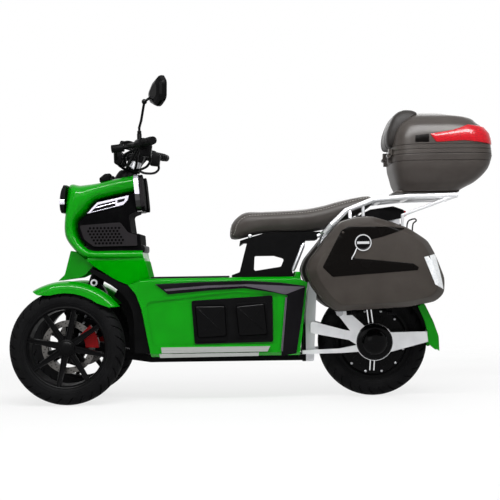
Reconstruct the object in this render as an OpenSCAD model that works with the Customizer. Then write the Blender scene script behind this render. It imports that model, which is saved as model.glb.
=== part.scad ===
// Electric three-wheel scooter with two steered front wheels, a hub-motor rear wheel and luggage cases.
// Millimetres, +Z up. X runs from the front to the rear, -Y is the rider's left side.
// Side-view outlines are written as [along, up], measured from a point on the ground under the front axle.

/* [Wheels] */
// Distance between the front and rear axles
wheelbase = 1300; // [1270:5:1330]
// Distance between the middles of the two front tyres
front_track = 430; // [426:2:450]
// Outer radius of the front tyres
front_tyre_r = 242; // [234:1:246]
// Width of the front tyres
front_tyre_w = 100; // [84:1:106]
// Outer radius of the rear tyre
rear_tyre_r = 238; // [228:1:242]
// Width of the rear tyre
rear_tyre_w = 120; // [100:1:126]
// Radius of the rims at their flanges
rim_r = 165; // [160:1:170]
// Number of spokes in each front rim
spoke_count = 8; // [5:1:10]
// Radius of the front brake discs
disc_r = 112; // [100:1:116]
// Radius of the rear hub motor
motor_r = 140; // [130:1:146]

/* [Steering] */
// Rake of the steering column and of the kingpins, in degrees from vertical
rake = 19; // [17:0.5:21]
// Distance of each kingpin from the middle of its wheel
kingpin_inset = 90; // [86:1:94]
// Length of the steering arms that the tie rod joins
steer_arm = 55; // [52:1:58]
// Radius of the steering column
column_r = 22; // [18:1:24]
// Overall width of the handlebar
handlebar_w = 704; // [690:2:740]
// Radius of the handlebar tube
bar_r = 11; // [10:0.5:12]
// Radius of the grips
grip_r = 16.5; // [15:0.5:18]
// Length of the grips
grip_len = 122; // [110:1:130]

/* [Floor] */
// Height of the footboard
deck_z = 524; // [518:1:530]
// Height of the underside of the battery floor
floor_z = 190; // [180:1:196]
// Half of the width of the battery floor
floor_half_w = 165; // [155:1:172]
// Wall thickness of the battery floor
floor_wall = 14; // [10:1:16]
// Thickness of the rubber foot mat
mat_t = 6; // [4:0.5:8]
// How far the side trims stand proud of the floor
trim_t = 9; // [6:0.5:12]

/* [Cowl] */
// Half of the width of the leg shield and of the cowl's lower bar
shield_half_w = 140; // [134:1:146]
// Depth of the recess at the sides of the cowl
cowl_recess = 22; // [16:1:28]
// Radius of each headlamp
lamp_r = 54; // [46:1:56]
// Half of the distance between the two headlamps
lamp_half_gap = 68; // [64:1:72]
// Half of the height of the bezels at the back of the cowl
bezel_r = 80; // [74:1:83]
// Width of a hexagon in the side grilles, across its corners
hex_w = 13; // [10:0.5:15]

/* [Seat] */
// Greatest half width of the seat
seat_half_w = 126; // [118:1:132]
// Thickness of the bent plates under the seat
plate_t = 6; // [4:0.5:8]

/* [Cases] */
// Half of the width of the top case
case_half_w = 200; // [185:1:210]
// Wall thickness of the cases
case_wall = 5; // [4:0.5:7]
// Distance of the panniers' inner faces from the middle
pannier_y = 146.5; // [146:0.5:152]
// Depth of a pannier's inner half
tub_depth = 88; // [80:1:95]
// Depth of a pannier's outer half
lid_depth = 98; // [85:1:104]
// Radius of the rack tubes
rack_r = 12; // [10:0.5:13]

/* [Hidden] */
$fn = 48;

// Gap between pieces that are seated on each other, and running gap of a pin in its bore
seat_gap = 0.3;
run_gap = 0.06;
left = -1;
right = 1;

// Where the whole part lies along X: its box is centred on the origin
case_front = 1385;
case_len = 435;
case_rear = case_front + case_len;
middle_u = (case_rear - front_tyre_r) / 2;

// Front suspension, along the raked steering axis from the height of the axle
kingpin_y = front_track / 2 - kingpin_inset;
kingpin_r = 16;
pivot_r = 8;
ball_r = 18;
low_ball = [-76, -51];
high_ball = [110, 135];
arm_plate = [137.5, 149];
rod_level = 157;
rod_r = 6;
rod_pin_r = 5;
rod_eye_r = 11;
pitman_plate = [165, 178];
head_span = [262, 640];
head_wall = 10;
carrier_half_w = 28;
carrier_x = [-35, 42];
carrier_s = [-90, 145];
stub_r = 12;
upright_r = 26;
column_top = 875;

// Rear axle
rear_axle_r = 10;
arm_y = [rear_tyre_w / 2 + 22, rear_tyre_w / 2 + 40];

// Frame members
beam_half_w = 28;
plate_y = [rear_tyre_w / 2, rear_tyre_w / 2 + 20];

function steer_point(s, x = 0) = [s * sin(rake) + x * cos(rake),
                                  front_tyre_r + s * cos(rake) - x * sin(rake)];

// A corner [x, y, r] becomes an arc of radius r, so an outline needs only its corners
function corner_arc(a, p, b, r, steps) =
    r == 0 ? [[p.x, p.y]] :
    let (ua = (a - p) / norm(a - p), ub = (b - p) / norm(b - p), half = acos(ua * ub) / 2,
         c = p + (ua + ub) / norm(ua + ub) * r / sin(half),
         s = p + ua * r / tan(half) - c, e = p + ub * r / tan(half) - c,
         a0 = atan2(s.y, s.x), turn = atan2(s.x * e.y - s.y * e.x, s * e))
    [for (k = [0:steps]) c + r * [cos(a0 + turn * k / steps), sin(a0 + turn * k / steps)]];
function xy(p) = [p[0], p[1]];
function rounded(path, steps = 5) =
    [for (i = [0:len(path) - 1])
        let (n = len(path), p = path[i])
        each corner_arc(xy(path[(i + n - 1) % n]), xy(p), xy(path[(i + 1) % n]), len(p) > 2 ? p[2] : 0,
            steps)];

// Smooth curve through stations, with the same number of values in each
function spline_at(st, i, t) =
    let (a = st[max(i - 1, 0)], b = st[i], c = st[i + 1], d = st[min(i + 2, len(st) - 1)])
    0.5 * (2 * b + (c - a) * t + (2 * a - 5 * b + 4 * c - d) * t * t + (3 * b - a - 3 * c + d) * t * t * t);
function spline(st, steps) =
    [for (i = [0:len(st) - 2], k = [0:steps - 1]) spline_at(st, i, k / steps), st[len(st) - 1]];

// Point number i of n on a squared-off oval with half sizes a and b: a power of 2 is an ellipse
function oval(a, b, power, i, n) =
    let (t = 360 * (i + 0.5) / n, c = cos(t), s = sin(t))
    [a * sign(c) * pow(abs(c), 2 / power), b * sign(s) * pow(abs(s), 2 / power)];

// Skin over a row of rings that each have the same number of points
module loft(rings) {
    n = len(rings[0]);
    m = len(rings);
    sides = [for (j = [0:m - 2], i = [0:n - 1])
        let (a = j * n + i, b = j * n + (i + 1) % n) each [[a, b + n, b], [a, a + n, b + n]]];
    caps = [[for (i = [0:n - 1]) i], [for (i = [n - 1:-1:0]) (m - 1) * n + i]];
    polyhedron([for (r = rings) each r], concat(sides, caps), convexity = 8);
}

// Side-view outline as a plate across the scooter, from y0 to y1
module side_plate(path, y0, y1) {
    translate([0, y1, 0]) rotate([90, 0, 0]) linear_extrude(y1 - y0) polygon(rounded(path));
}

// The same plate on both sides
module both_plates(path, y0, y1) {
    side_plate(path, y0, y1);
    side_plate(path, -y1, -y0);
}

module both_sides() {
    children();
    mirror([0, 1, 0]) children();
}

module on_side(side) {
    if (side == left) mirror([0, 1, 0]) children();
    else children();
}

// Round bar between two points
module bar(a, b, r) {
    d = b - a;
    translate(a) rotate([0, acos(d.z / norm(d)), atan2(d.y, d.x)]) cylinder(r = r, h = norm(d));
}

// Tube skinned over rings that are turned to the path; the side vector is never along the path
function unit(v) = v / norm(v);
module swept_tube(points, r, side, n = 14) {
    last = len(points) - 1;
    loft([for (i = [0:last])
        let (t = unit((i < last ? unit(points[i + 1] - points[i]) : [0, 0, 0])
                      + (i > 0 ? unit(points[i] - points[i - 1]) : [0, 0, 0])),
             a = unit(cross(side, t)), b = cross(t, a))
        [for (k = [0:n - 1]) points[i] + r * (cos(360 * k / n) * a + sin(360 * k / n) * b)]]);
}

// Bent tube through points, with a ball at each bend
module tube_path(points, r) {
    for (i = [0:len(points) - 2]) bar(points[i], points[i + 1], r);
    for (i = [1:len(points) - 2]) translate(points[i]) sphere(r = r + 0.4);
}

module from_front_axle() { translate([-middle_u, 0, 0]) children(); }
module steer_axis() { translate([0, 0, front_tyre_r]) rotate([0, rake, 0]) children(); }
module at_rear_axle() { translate([wheelbase, 0, rear_tyre_r]) children(); }
// A wheel's own frame: its axle along Z, pointing to the scooter's right side
module wheel_axis() { rotate([-90, 0, 0]) children(); }
module at_front_wheel(side) { translate([0, side * front_track / 2, front_tyre_r]) children(); }

// Bar along Z between two levels
module post(r, span) { translate([0, 0, span[0]]) cylinder(r = r, h = span[1] - span[0]); }

// Frame

frame_rail_z = 158;
spine_path = [[20, 205, 6], [20, 268, 6], [150, 240, 30], [330, floor_z - seat_gap],
              [1000, floor_z - seat_gap], [1000, frame_rail_z], [330, frame_rail_z, 30]];
tail_plate_path = [[990, frame_rail_z], [1040, frame_rail_z, 8], [1056, 480, 40], [1114, 690, 30],
                   [1420, 744], [1420, 768, 4], [1088, 712, 30], [1026, 492, 30], [998, 300, 30]];
gusset_path = [[carrier_x[0], carrier_s[0]], [carrier_x[1], carrier_s[0]], [72, 90, 20], [60, 255, 10],
               [20, 290], [20, 262], [40, 250], [40, carrier_s[1]], [carrier_x[0], carrier_s[1]]];

module frame() color("#202124") {
    difference() {
        union() {
            steer_axis() {
                post(column_r + head_wall, head_span);
                side_plate(gusset_path, -carrier_half_w, carrier_half_w);
                // pins that the shock absorbers hang on
                translate([0, 0, shock_top[1]]) rotate([90, 0, 0])
                    cylinder(r = shock_pin_r, h = 2 * (shock_top[0] + 14), center = true);
            }
            side_plate(spine_path, -beam_half_w, beam_half_w);
            both_plates(tail_plate_path, plate_y[0], plate_y[1]);
            // cross members
            for (p = [[985, 175], [1037, 420], [1100, 690], [1300, 736]])
                translate([p.x, 0, p.y]) rotate([90, 0, 0])
                    cylinder(r = 12, h = 2 * plate_y[1], center = true);
            // swingarm pivot
            translate([swing_pivot.x, 0, swing_pivot.y]) rotate([90, 0, 0])
                cylinder(r = 20, h = 2 * (arm_y[0] - seat_gap), center = true);
        }
        steer_axis() post(column_r + run_gap, [150, 700]);
    }
}

// Front suspension

wish_spread = 70;
wish_t = 14;
wish_leg = 8;
shock_top = [64, 282];
shock_foot = [88, (low_ball[0] + low_ball[1]) / 2];
shock_pin_r = 7;
shock_r = 19;

// One A-shaped arm in the steering frame, at the level of one ball joint
module wishbone(span) {
    mid = (span[0] + span[1]) / 2;
    root = carrier_half_w + seat_gap;
    difference() {
        union() {
            translate([0, kingpin_y, 0]) post(ball_r, span);
            translate([0, 0, mid - wish_t / 2]) linear_extrude(wish_t)
                for (s = [-1, 1])
                    polygon([[s * (wish_spread - wish_leg), root], [s * (wish_spread + wish_leg), root],
                             [s * 14, kingpin_y], [0, kingpin_y]]);
            translate([0, root + 7, mid]) rotate([0, 90, 0])
                cylinder(r = 6, h = 2 * wish_spread, center = true);
        }
        translate([0, kingpin_y, 0]) post(pivot_r + run_gap, [span[0] - 1, span[1] + 1]);
    }
}

module wishbones() color("#3a3b3d") steer_axis() both_sides() {
    wishbone(low_ball);
    wishbone(high_ball);
    // pin between the lower legs that the shock absorber stands on
    translate([0, shock_foot[0], shock_foot[1]]) rotate([0, 90, 0])
        cylinder(r = shock_pin_r - 1, h = 60, center = true);
}

// Shock absorber along Z: two eyes, a body, a rod and a spring whose coils are drawn as a ribbed sleeve
module shock(length, r, turns, bore_r, foot_turn) {
    eye_r = shock_pin_r + 8;
    coil_from = length * 0.2;
    pitch = length * 0.68 / turns;
    for (e = [[0, foot_turn], [length, 0]]) translate([0, 0, e[0]]) rotate([90, 0, e[1]])
        difference() {
            cylinder(r = eye_r, h = 14, center = true);
            cylinder(r = bore_r, h = 20, center = true);
        }
    post(r * 0.52, [eye_r - 2, length * 0.62]);
    post(r * 0.3, [length * 0.5, length - eye_r + 2]);
    rotate_extrude() polygon(concat(
        [[0, coil_from - 6], [r, coil_from - 6]],
        [for (k = [0:turns - 1]) each [[r, coil_from + k * pitch], [r * 0.7, coil_from + (k + 0.25) * pitch],
                                       [r * 0.7, coil_from + (k + 0.5) * pitch],
                                       [r, coil_from + (k + 0.75) * pitch]]],
        [[r, coil_from + turns * pitch + 6], [0, coil_from + turns * pitch + 6]]));
}

module front_shocks() color("#8c8f93") steer_axis() both_sides() {
    rise = shock_top[1] - shock_foot[1];
    shift = shock_foot[0] - shock_top[0];
    translate([0, shock_foot[0], shock_foot[1]]) rotate([atan2(shift, rise), 0, 0])
        shock(norm([rise, shift]), shock_r, 9, shock_pin_r + 1, 90);
}

// Knuckle on one side: kingpin tube, stub axle, steering arm, caliper bracket and fender stay
caliper_at = 21;
caliper_span = 46;
caliper_in = 74;
caliper_out = 130;
disc_y = -20;
disc_t = 4.5;
caliper_half_t = 17;
disc_gap = 5.2;
fender_half_w = 60;
fender_gap = 11;
fender_t = 4;
stay_y = front_track / 2 - fender_half_w - seat_gap;

module knuckle(side) color("#34363a") on_side(side) {
    steer_axis() translate([0, kingpin_y, 0]) {
        post(kingpin_r, [low_ball[1] + 0.5, high_ball[0] - 0.5]);
        post(pivot_r, [low_ball[0], arm_plate[1]]);
        translate([0, 0, arm_plate[0]]) linear_extrude(arm_plate[1] - arm_plate[0]) {
            circle(r = 15);
            translate([-steer_arm, 0]) circle(r = rod_eye_r);
            translate([-steer_arm, -9]) square([steer_arm, 18]);
        }
        translate([-steer_arm, 0, 0]) post(rod_pin_r, [arm_plate[0], rod_level + 8]);
    }
    translate([0, kingpin_y, front_tyre_r]) wheel_axis() {
        post(upright_r, [-6, stay_y - kingpin_y - 2]);
        post(stub_r, [-4, kingpin_inset + 30]);
    }
    // bracket that carries the caliper
    at_front_wheel(right) wheel_axis() rotate([0, 0, -caliper_at])
        translate([0, -13, stay_y - 12 - front_track / 2])
            cube([caliper_out - 12, 26, front_track / 2 + disc_y - caliper_half_t - seat_gap - stay_y + 12]);
    // stay that carries the fender
    side_plate([[-20, front_tyre_r - 10], [20, front_tyre_r - 10], [16, front_tyre_r + 175],
                [40, front_tyre_r + 252, 8], [-40, front_tyre_r + 252, 8], [-16, front_tyre_r + 175]],
               stay_y - 7, stay_y);
}

module caliper(side) color("#b01218") on_side(side) at_front_wheel(right) wheel_axis()
    rotate(-caliper_at - caliper_span / 2) difference() {
        rotate_extrude(angle = caliper_span) difference() {
            translate([caliper_in, disc_y - caliper_half_t])
                square([caliper_out - caliper_in, 2 * caliper_half_t]);
            translate([caliper_in - 1, disc_y - disc_t / 2 - disc_gap])
                square([disc_r + disc_gap - caliper_in + 1, disc_t + 2 * disc_gap]);
        }
        // finger window over the pads
        rotate(caliper_span / 2) translate([disc_r + 8, -9, disc_y - 12]) cube([40, 18, 24]);
    }

// Front fender: a curved shell round the tyre with skirts, ending in two points
fender_r = front_tyre_r + fender_gap;
fender_skirt = 26;
module fender_shell() {
    rotate_extrude(angle = 150) difference() {
        polygon(rounded([[fender_r - fender_skirt, -fender_half_w],
                         [fender_r + fender_t + 9, -fender_half_w, 24], [fender_r + fender_t + 22, 0, 90],
                         [fender_r + fender_t + 9, fender_half_w, 24],
                         [fender_r - fender_skirt, fender_half_w]]));
        polygon(rounded([[fender_r - fender_skirt - 1, -fender_half_w + fender_t],
                         [fender_r + 4, -fender_half_w + fender_t, 20], [fender_r + 17, 0, 86],
                         [fender_r + 4, fender_half_w - fender_t, 20],
                         [fender_r - fender_skirt - 1, fender_half_w - fender_t]]));
    }
}

// Side outline of what is kept of the shell, measured from the axle: a crescent with sharp ends
fender_cut = [[-146, 240], [-112, 219, 30], [-60, 219, 60], [10, 224, 80], [62, 210, 80], [128, 186, 80],
              [182, 166, 20], [222, 168], [240, 300], [-160, 300]];
module fender(side) color("#10c41a") on_side(side) at_front_wheel(right) intersection() {
    wheel_axis() rotate(-165) fender_shell();
    side_plate(fender_cut, -fender_half_w - 1, fender_half_w + 1);
}

module tie_rod() color("#55585c") steer_axis() translate([-steer_arm, 0, rod_level]) difference() {
    union() {
        rotate([90, 0, 0]) cylinder(r = rod_r, h = 2 * kingpin_y, center = true);
        for (y = [-kingpin_y, 0, kingpin_y]) translate([0, y, -rod_r - 1])
            cylinder(r = rod_eye_r, h = 2 * rod_r + 2);
    }
    for (y = [-kingpin_y, 0, kingpin_y]) translate([0, y, 0])
        cylinder(r = rod_pin_r + run_gap, h = 40, center = true);
}

// Front wheels

tyre_bead = rim_r - 9;
rim_half_w = 42;
module tyre(r, w, bead_half_w) rotate_extrude($fn = 96)
    polygon(rounded([[tyre_bead, -bead_half_w], [rim_r + 2, -bead_half_w], [rim_r + 14, -bead_half_w - 7],
                     [r - 34, -w / 2, 14], [r - 14, -w / 2 + 8, 14], [r - 2, -w / 5, 40], [r, 0],
                     [r - 2, w / 5, 40],
                     [r - 14, w / 2 - 8, 14], [r - 34, w / 2, 14], [rim_r + 14, bead_half_w + 7],
                     [rim_r + 2, bead_half_w], [tyre_bead, bead_half_w]]));

module front_tyre(side) color("#17181a") at_front_wheel(side) wheel_axis()
    tyre(front_tyre_r, front_tyre_w, rim_half_w - 5 - seat_gap);

hub_r = 33;
hub_flange_r = 46;
spoke_y = [10, 32];
module front_rim(side) color("#1c1d1f") on_side(side) at_front_wheel(right) wheel_axis() difference() {
    union() {
        // barrel with two flanges
        rotate_extrude($fn = 96)
            polygon([[rim_r - 26, -rim_half_w], [rim_r, -rim_half_w], [rim_r, -rim_half_w + 5],
                     [tyre_bead - seat_gap, -rim_half_w + 5], [tyre_bead - seat_gap, rim_half_w - 5],
                     [rim_r, rim_half_w - 5], [rim_r, rim_half_w], [rim_r - 26, rim_half_w],
                     [rim_r - 20, rim_half_w - 14], [rim_r - 20, -rim_half_w + 12]]);
        post(hub_r, [-34, 36]);
        post(hub_flange_r, [disc_y + disc_t / 2, disc_y + disc_t / 2 + 8]);
        // tapered spokes with a ridge along the middle
        for (k = [0:spoke_count - 1]) rotate(360 * k / spoke_count + 12) {
            translate([0, 0, spoke_y[0]]) linear_extrude(spoke_y[1] - spoke_y[0] - 7)
                polygon([[hub_r - 6, -12], [rim_r - 19, -9], [rim_r - 19, 9], [hub_r - 6, 12]]);
            translate([0, 0, spoke_y[0] + 3]) linear_extrude(spoke_y[1] - spoke_y[0] - 3)
                polygon([[hub_r - 7, -6], [rim_r - 18, -4], [rim_r - 18, 4], [hub_r - 7, 6]]);
        }
        // hub cap
        translate([0, 0, 34]) cylinder(r1 = hub_r - 2, r2 = hub_r - 7, h = 7);
    }
    post(stub_r + run_gap, [-40, 31]);
}

disc_holes = 18;
module brake_disc(side) color("#b9bcc0") on_side(side) at_front_wheel(right) wheel_axis() difference() {
    post(disc_r, [disc_y - disc_t / 2, disc_y + disc_t / 2]);
    post(hub_r + seat_gap, [-60, 40]);
    for (k = [0:disc_holes - 1]) rotate(360 * k / disc_holes)
        translate([disc_r - (k % 2 == 0 ? 11 : 22), 0, -40]) cylinder(r = 3.6, h = 60, $fn = 16);
    for (k = [0:5]) rotate(60 * k + 30) translate([62, 0, -40]) cylinder(r = 11, h = 60, $fn = 24);
}

// Rear wheel

module rear_tyre() color("#17181a") at_rear_axle() wheel_axis()
    tyre(rear_tyre_r, rear_tyre_w, rim_half_w - 5 - seat_gap);

hub_half_w = 56;
bolt_count = 12;
module rear_hub() color("#1b1c1e") at_rear_axle() wheel_axis() difference() {
    union() {
        rotate_extrude($fn = 96)
            polygon([[0, -hub_half_w], [68, -hub_half_w], [78, -hub_half_w + 9],
                     [motor_r - 22, -hub_half_w + 12], [motor_r - 12, -rim_half_w - 4],
                     [motor_r, -rim_half_w - 4], [motor_r + 4, -rim_half_w + 6],
                     [rim_r - 14, -rim_half_w + 2], [rim_r - 14, -rim_half_w], [rim_r, -rim_half_w],
                     [rim_r, -rim_half_w + 5], [tyre_bead - seat_gap, -rim_half_w + 5],
                     [tyre_bead - seat_gap, rim_half_w - 5], [rim_r, rim_half_w - 5], [rim_r, rim_half_w],
                     [rim_r - 14, rim_half_w], [rim_r - 14, rim_half_w - 2], [motor_r + 4, rim_half_w - 6],
                     [motor_r, rim_half_w + 4], [motor_r - 12, rim_half_w + 4],
                     [motor_r - 22, hub_half_w - 12], [78, hub_half_w - 9], [68, hub_half_w],
                     [0, hub_half_w]]);
        // cooling ribs and cover bolts on both faces
        for (s = [-1, 1]) {
            for (k = [0:bolt_count - 1]) rotate(360 * k / bolt_count + 15)
                translate([motor_r - 6, 0, s * (rim_half_w + 5)])
                    cylinder(r = 4, h = 6, center = true, $fn = 6);
            for (k = [0:35]) rotate(10 * k) translate([98, 0, s * (hub_half_w - 11.5)])
                cube([34, 2.4, 5], center = true);
        }
    }
    post(rear_axle_r + run_gap, [-80, 80]);
}

// Swingarm plates: a forked arm with a round end, a brace below and a stay that holds the rear blade
swing_pivot = [1034, 306];
cover_r = 76;
function rear_point(x, z, r = 0) = [wheelbase + x, rear_tyre_r + z, r];
lower_arm = [[swing_pivot.x - 8, swing_pivot.y + 26, 10], rear_point(-122, 52), rear_point(-40, 40),
             rear_point(-20, -48), rear_point(-110, 10), [swing_pivot.x - 8, swing_pivot.y - 26, 10]];
upper_strut = [rear_point(-176, 146), rear_point(-126, 146), rear_point(-38, 66), rear_point(-20, -10),
               rear_point(-96, 40)];
brace_path = [[990, 190], [990, 206], [1150, 212, 10], rear_point(-62, -10), rear_point(-50, -40),
              [1166, 193, 20]];
stay_path = [rear_point(40, 40), rear_point(260, 42, 8), rear_point(270, 8, 8), rear_point(60, -46)];
module swingarm(side) color("#b4b7ba") on_side(side) difference() {
    union() {
        side_plate(lower_arm, arm_y[0], arm_y[1]);
        side_plate(upper_strut, arm_y[0], arm_y[1]);
        side_plate(brace_path, arm_y[0], arm_y[1]);
        side_plate(stay_path, arm_y[0], arm_y[1]);
        at_rear_axle() wheel_axis() post(cover_r + 4, arm_y);
    }
    at_rear_axle() wheel_axis() post(rear_axle_r + seat_gap, [0, 200]);
    // long recess in the lower arm
    side_plate([[swing_pivot.x + 26, swing_pivot.y + 10, 6], rear_point(-130, 36, 6), rear_point(-128, 16, 6),
                [swing_pivot.x + 26, swing_pivot.y - 10, 6]], arm_y[1] - 5, arm_y[1] + 1);
}

// Axle and the two round covers over its ends
module motor_covers() color("#141416") at_rear_axle() wheel_axis() {
    post(rear_axle_r, [-arm_y[1] - 20, arm_y[1] + 20]);
    for (s = [0, 180]) rotate([s, 0, 0]) translate([0, 0, arm_y[1] + seat_gap])
        rotate_extrude($fn = 64)
            polygon(rounded([[0, 0], [cover_r, 0], [cover_r, 14, 6], [cover_r - 12, 20, 4],
                             [cover_r - 16, 36, 14], [30, 46, 60], [0, 47]]));
}

rear_shock_foot = rear_point(-150, 128);
rear_shock_top = [1128, 684];
module rear_shocks() color("#8c8f93") for (side = [left, right])
    translate([rear_shock_foot.x, side * (arm_y[1] + 20), rear_shock_foot.y])
        rotate([0, atan2(rear_shock_top.x - rear_shock_foot.x, rear_shock_top.y - rear_shock_foot.y), 0]) {
            length = norm(rear_shock_top - rear_shock_foot);
            shock(length, 22, 10, 3, 0);
            // bolts into the swingarm and into the tail frame
            rotate([90 * side, 0, 0]) cylinder(r = shock_pin_r, h = 20 - seat_gap);
            translate([0, 0, length]) rotate([90 * side, 0, 0])
                cylinder(r = shock_pin_r, h = arm_y[1] + 20 - plate_y[1] - seat_gap);
        }

guard_gap = 13;
guard_half_w = arm_y[0] - seat_gap;
guard_r = rear_tyre_r + guard_gap;
module rear_mudguard() color("#1a1b1d") at_rear_axle() wheel_axis() rotate(-112) rotate_extrude(angle = 98)
    difference() {
        polygon(rounded([[guard_r - 30, -guard_half_w], [guard_r + 5, -guard_half_w, 14],
                         [guard_r + 5, guard_half_w, 14], [guard_r - 30, guard_half_w]]));
        polygon(rounded([[guard_r - 31, -guard_half_w + 4], [guard_r, -guard_half_w + 4, 10],
                         [guard_r, guard_half_w - 4, 10], [guard_r - 31, guard_half_w - 4]]));
    }

// Painted blade behind the rear wheel
blade_path = [[196, 164], [222, 160, 10], [258, 84, 80], [280, 20, 60], [282, -44], [246, -14, 10],
              [253, 40, 90], [230, 100, 60]];
module rear_blade() color("#10c41a") at_rear_axle() difference() {
    side_plate(blade_path, -guard_half_w, guard_half_w);
    wheel_axis() post(guard_r + 5 + 2 * seat_gap, [-guard_half_w - 1, guard_half_w + 1]);
    side_plate([[210, 158], [244, 84, 80], [262, 20, 60], [262, -50], [200, -50], [180, 158]],
               -guard_half_w + 16, guard_half_w - 16);
}

// Battery floor

nose = [250, deck_z - 26];
floor_front = [[345, floor_z], [306, 394, 40], [282, 460, 40]];
floor_tail = [[1012, deck_z - 26], [976, floor_z]];
floor_span = [nose.x - 10, floor_tail[0].x + 10];
floor_path = concat(floor_front, [nose, [332, deck_z, 60], [960, deck_z, 60]], floor_tail);
floor_section = [[-floor_half_w, floor_z + 14], [-floor_half_w, deck_z - 10, 4],
                 [-floor_half_w + 14, deck_z, 4], [floor_half_w - 14, deck_z, 4],
                 [floor_half_w, deck_z - 10, 4], [floor_half_w, floor_z + 14],
                 [floor_half_w - 24, floor_z], [-floor_half_w + 24, floor_z]];
side_recess = [[326, 424, 20], [352, 240, 10], [878, 240, 10], [884, 452, 12], [700, 462, 80],
               [410, 432, 60]];
recess_t = 7;
cover_path = [[518, 427, 8], [863, 446, 8], [863, 249, 8], [530, 244, 8]];
bay = [[392, floor_z + 14], [930, deck_z - 26]];

module floor_body() color("#0fb818") difference() {
    intersection() {
        side_plate(floor_path, -floor_half_w, floor_half_w);
        translate([floor_span[0], 0, 0]) rotate([90, 0, 90]) linear_extrude(floor_span[1] - floor_span[0])
            polygon(rounded(floor_section));
    }
    // battery bay
    translate([bay[0].x, -floor_half_w + floor_wall + recess_t, bay[0].y])
        cube([bay[1].x - bay[0].x, 2 * (floor_half_w - floor_wall - recess_t), bay[1].y - bay[0].y]);
    both_plates(side_recess, floor_half_w - recess_t, floor_half_w + 1);
}

module battery_pack() color("#2b2d30")
    translate([bay[0].x + 20, -floor_half_w + floor_wall + recess_t + 12, bay[0].y + seat_gap])
        cube([bay[1].x - bay[0].x - 40, 2 * (floor_half_w - floor_wall - recess_t - 12), 210]);

// Black side covers: each has two raised squares crossed by diagonal grooves
cover_t = 10;
square_size = [126, 146];
square_at = [[604, 330], [774, 342]];
module cover_square(at) translate([at.x, 0, at.y]) difference() {
    rotate([90, 0, 0]) translate([0, 0, -7]) linear_extrude(7) polygon(rounded(
        [[-square_size.x / 2, -square_size.y / 2, 8], [square_size.x / 2, -square_size.y / 2, 8],
         [square_size.x / 2, square_size.y / 2, 8], [-square_size.x / 2, square_size.y / 2, 8]]));
    for (s = [-1, 1]) translate([0, 5, 0]) rotate([0, s * 50, 0]) cube([130, 6, 8], center = true);
    translate([0, 5, 0]) rotate([90, 0, 0]) cylinder(r = 20, h = 6, center = true);
}

module battery_covers() color("#1d1e20") both_sides() {
    side_plate(cover_path, floor_half_w - recess_t + seat_gap, floor_half_w - recess_t + cover_t);
    translate([0, floor_half_w - recess_t + cover_t, 0]) for (at = square_at) cover_square(at);
}

trim_path = [[366, 500], [753, 510, 200], [1015, 482], [974, 212], [896, 186], [926, 445, 20],
             [741, 483, 160], [420, 456]];
module side_trims() color("#2a2a2e") both_plates(trim_path, floor_half_w + seat_gap, floor_half_w + trim_t);

rail_span = [395, 815];
rail_z = [floor_z + 16, floor_z + 48];
module side_rails() color("#c9ccd0") both_sides() difference() {
    side_plate([[rail_span[0], rail_z[0], 8], [rail_span[1], rail_z[0], 8], [rail_span[1] + 16, rail_z[1], 4],
                [rail_span[0] - 6, rail_z[1], 4]], floor_half_w + seat_gap, floor_half_w + 22);
    // groove along the outer face
    translate([rail_span[0] - 20, floor_half_w + 17, rail_z[0] + 13])
        cube([rail_span[1] - rail_span[0] + 60, 6, 5]);
}

shield_back = 338;
seat_leg_front = 690;
seat_leg_rear = 958;
mat_span = [shield_back + 8, seat_leg_front - 14];
module floor_mat() color("#222326") difference() {
    translate([mat_span[0], -floor_half_w + 26, deck_z + seat_gap])
        cube([mat_span[1] - mat_span[0], 2 * floor_half_w - 52, mat_t]);
    for (x = [mat_span[0] + 16:22:mat_span[1] - 16])
        translate([x, -floor_half_w + 40, deck_z + seat_gap + mat_t - 2]) cube([8, 2 * floor_half_w - 80, 3]);
}

// Front shell

bar_z = [604, 651];
// The cowl's bar sags a little between its stations, so the leg shield stops just below it
shield_top = bar_z[0] - 0.9;
shield_front = [[80, bar_z[0] + 3], [62, bar_z[0] + 11.5], [100, 581], [146, 553, 60], [196, 521, 60]];
shield_path = concat(shield_front, [[nose.x - 2, nose.y + 0.5], [shield_back - 6, deck_z + seat_gap + 2, 40],
                                    [shield_back, deck_z + seat_gap + 2], [shield_back - 17, shield_top - 8],
                                    [shield_back - 22, shield_top], [90, shield_top]]);
splash_path = [[92, 571], [146, 546, 60], [196, 514, 60], [nose.x - 4, nose.y - 5], [278, 456, 40],
               [302, 392, 40], [338, floor_z + 14], [316, floor_z + 14], [287, 385, 40],
               [264, 436, 30], [225, 470, 60], [84, 556]];
module head_bore() steer_axis() post(column_r + head_wall + seat_gap, [100, 900]);

module splash_shield() color("#161618") difference() {
    side_plate(splash_path, -shield_half_w + 6, shield_half_w - 6);
    head_bore();
}

module leg_shield() color("#0fb818") difference() {
    intersection() {
        side_plate(shield_path, -shield_half_w, shield_half_w);
        // rounded in plan, with flat bevels at the back
        linear_extrude(900) polygon(rounded(
            [[40, -shield_half_w + 30, 20], [120, -shield_half_w, 60], [300, -shield_half_w, 10],
             [345, -shield_half_w + 24, 6], [345, shield_half_w - 24, 6], [300, shield_half_w, 10],
             [120, shield_half_w, 60], [40, shield_half_w - 30, 20]]));
    }
    head_bore();
}

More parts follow.
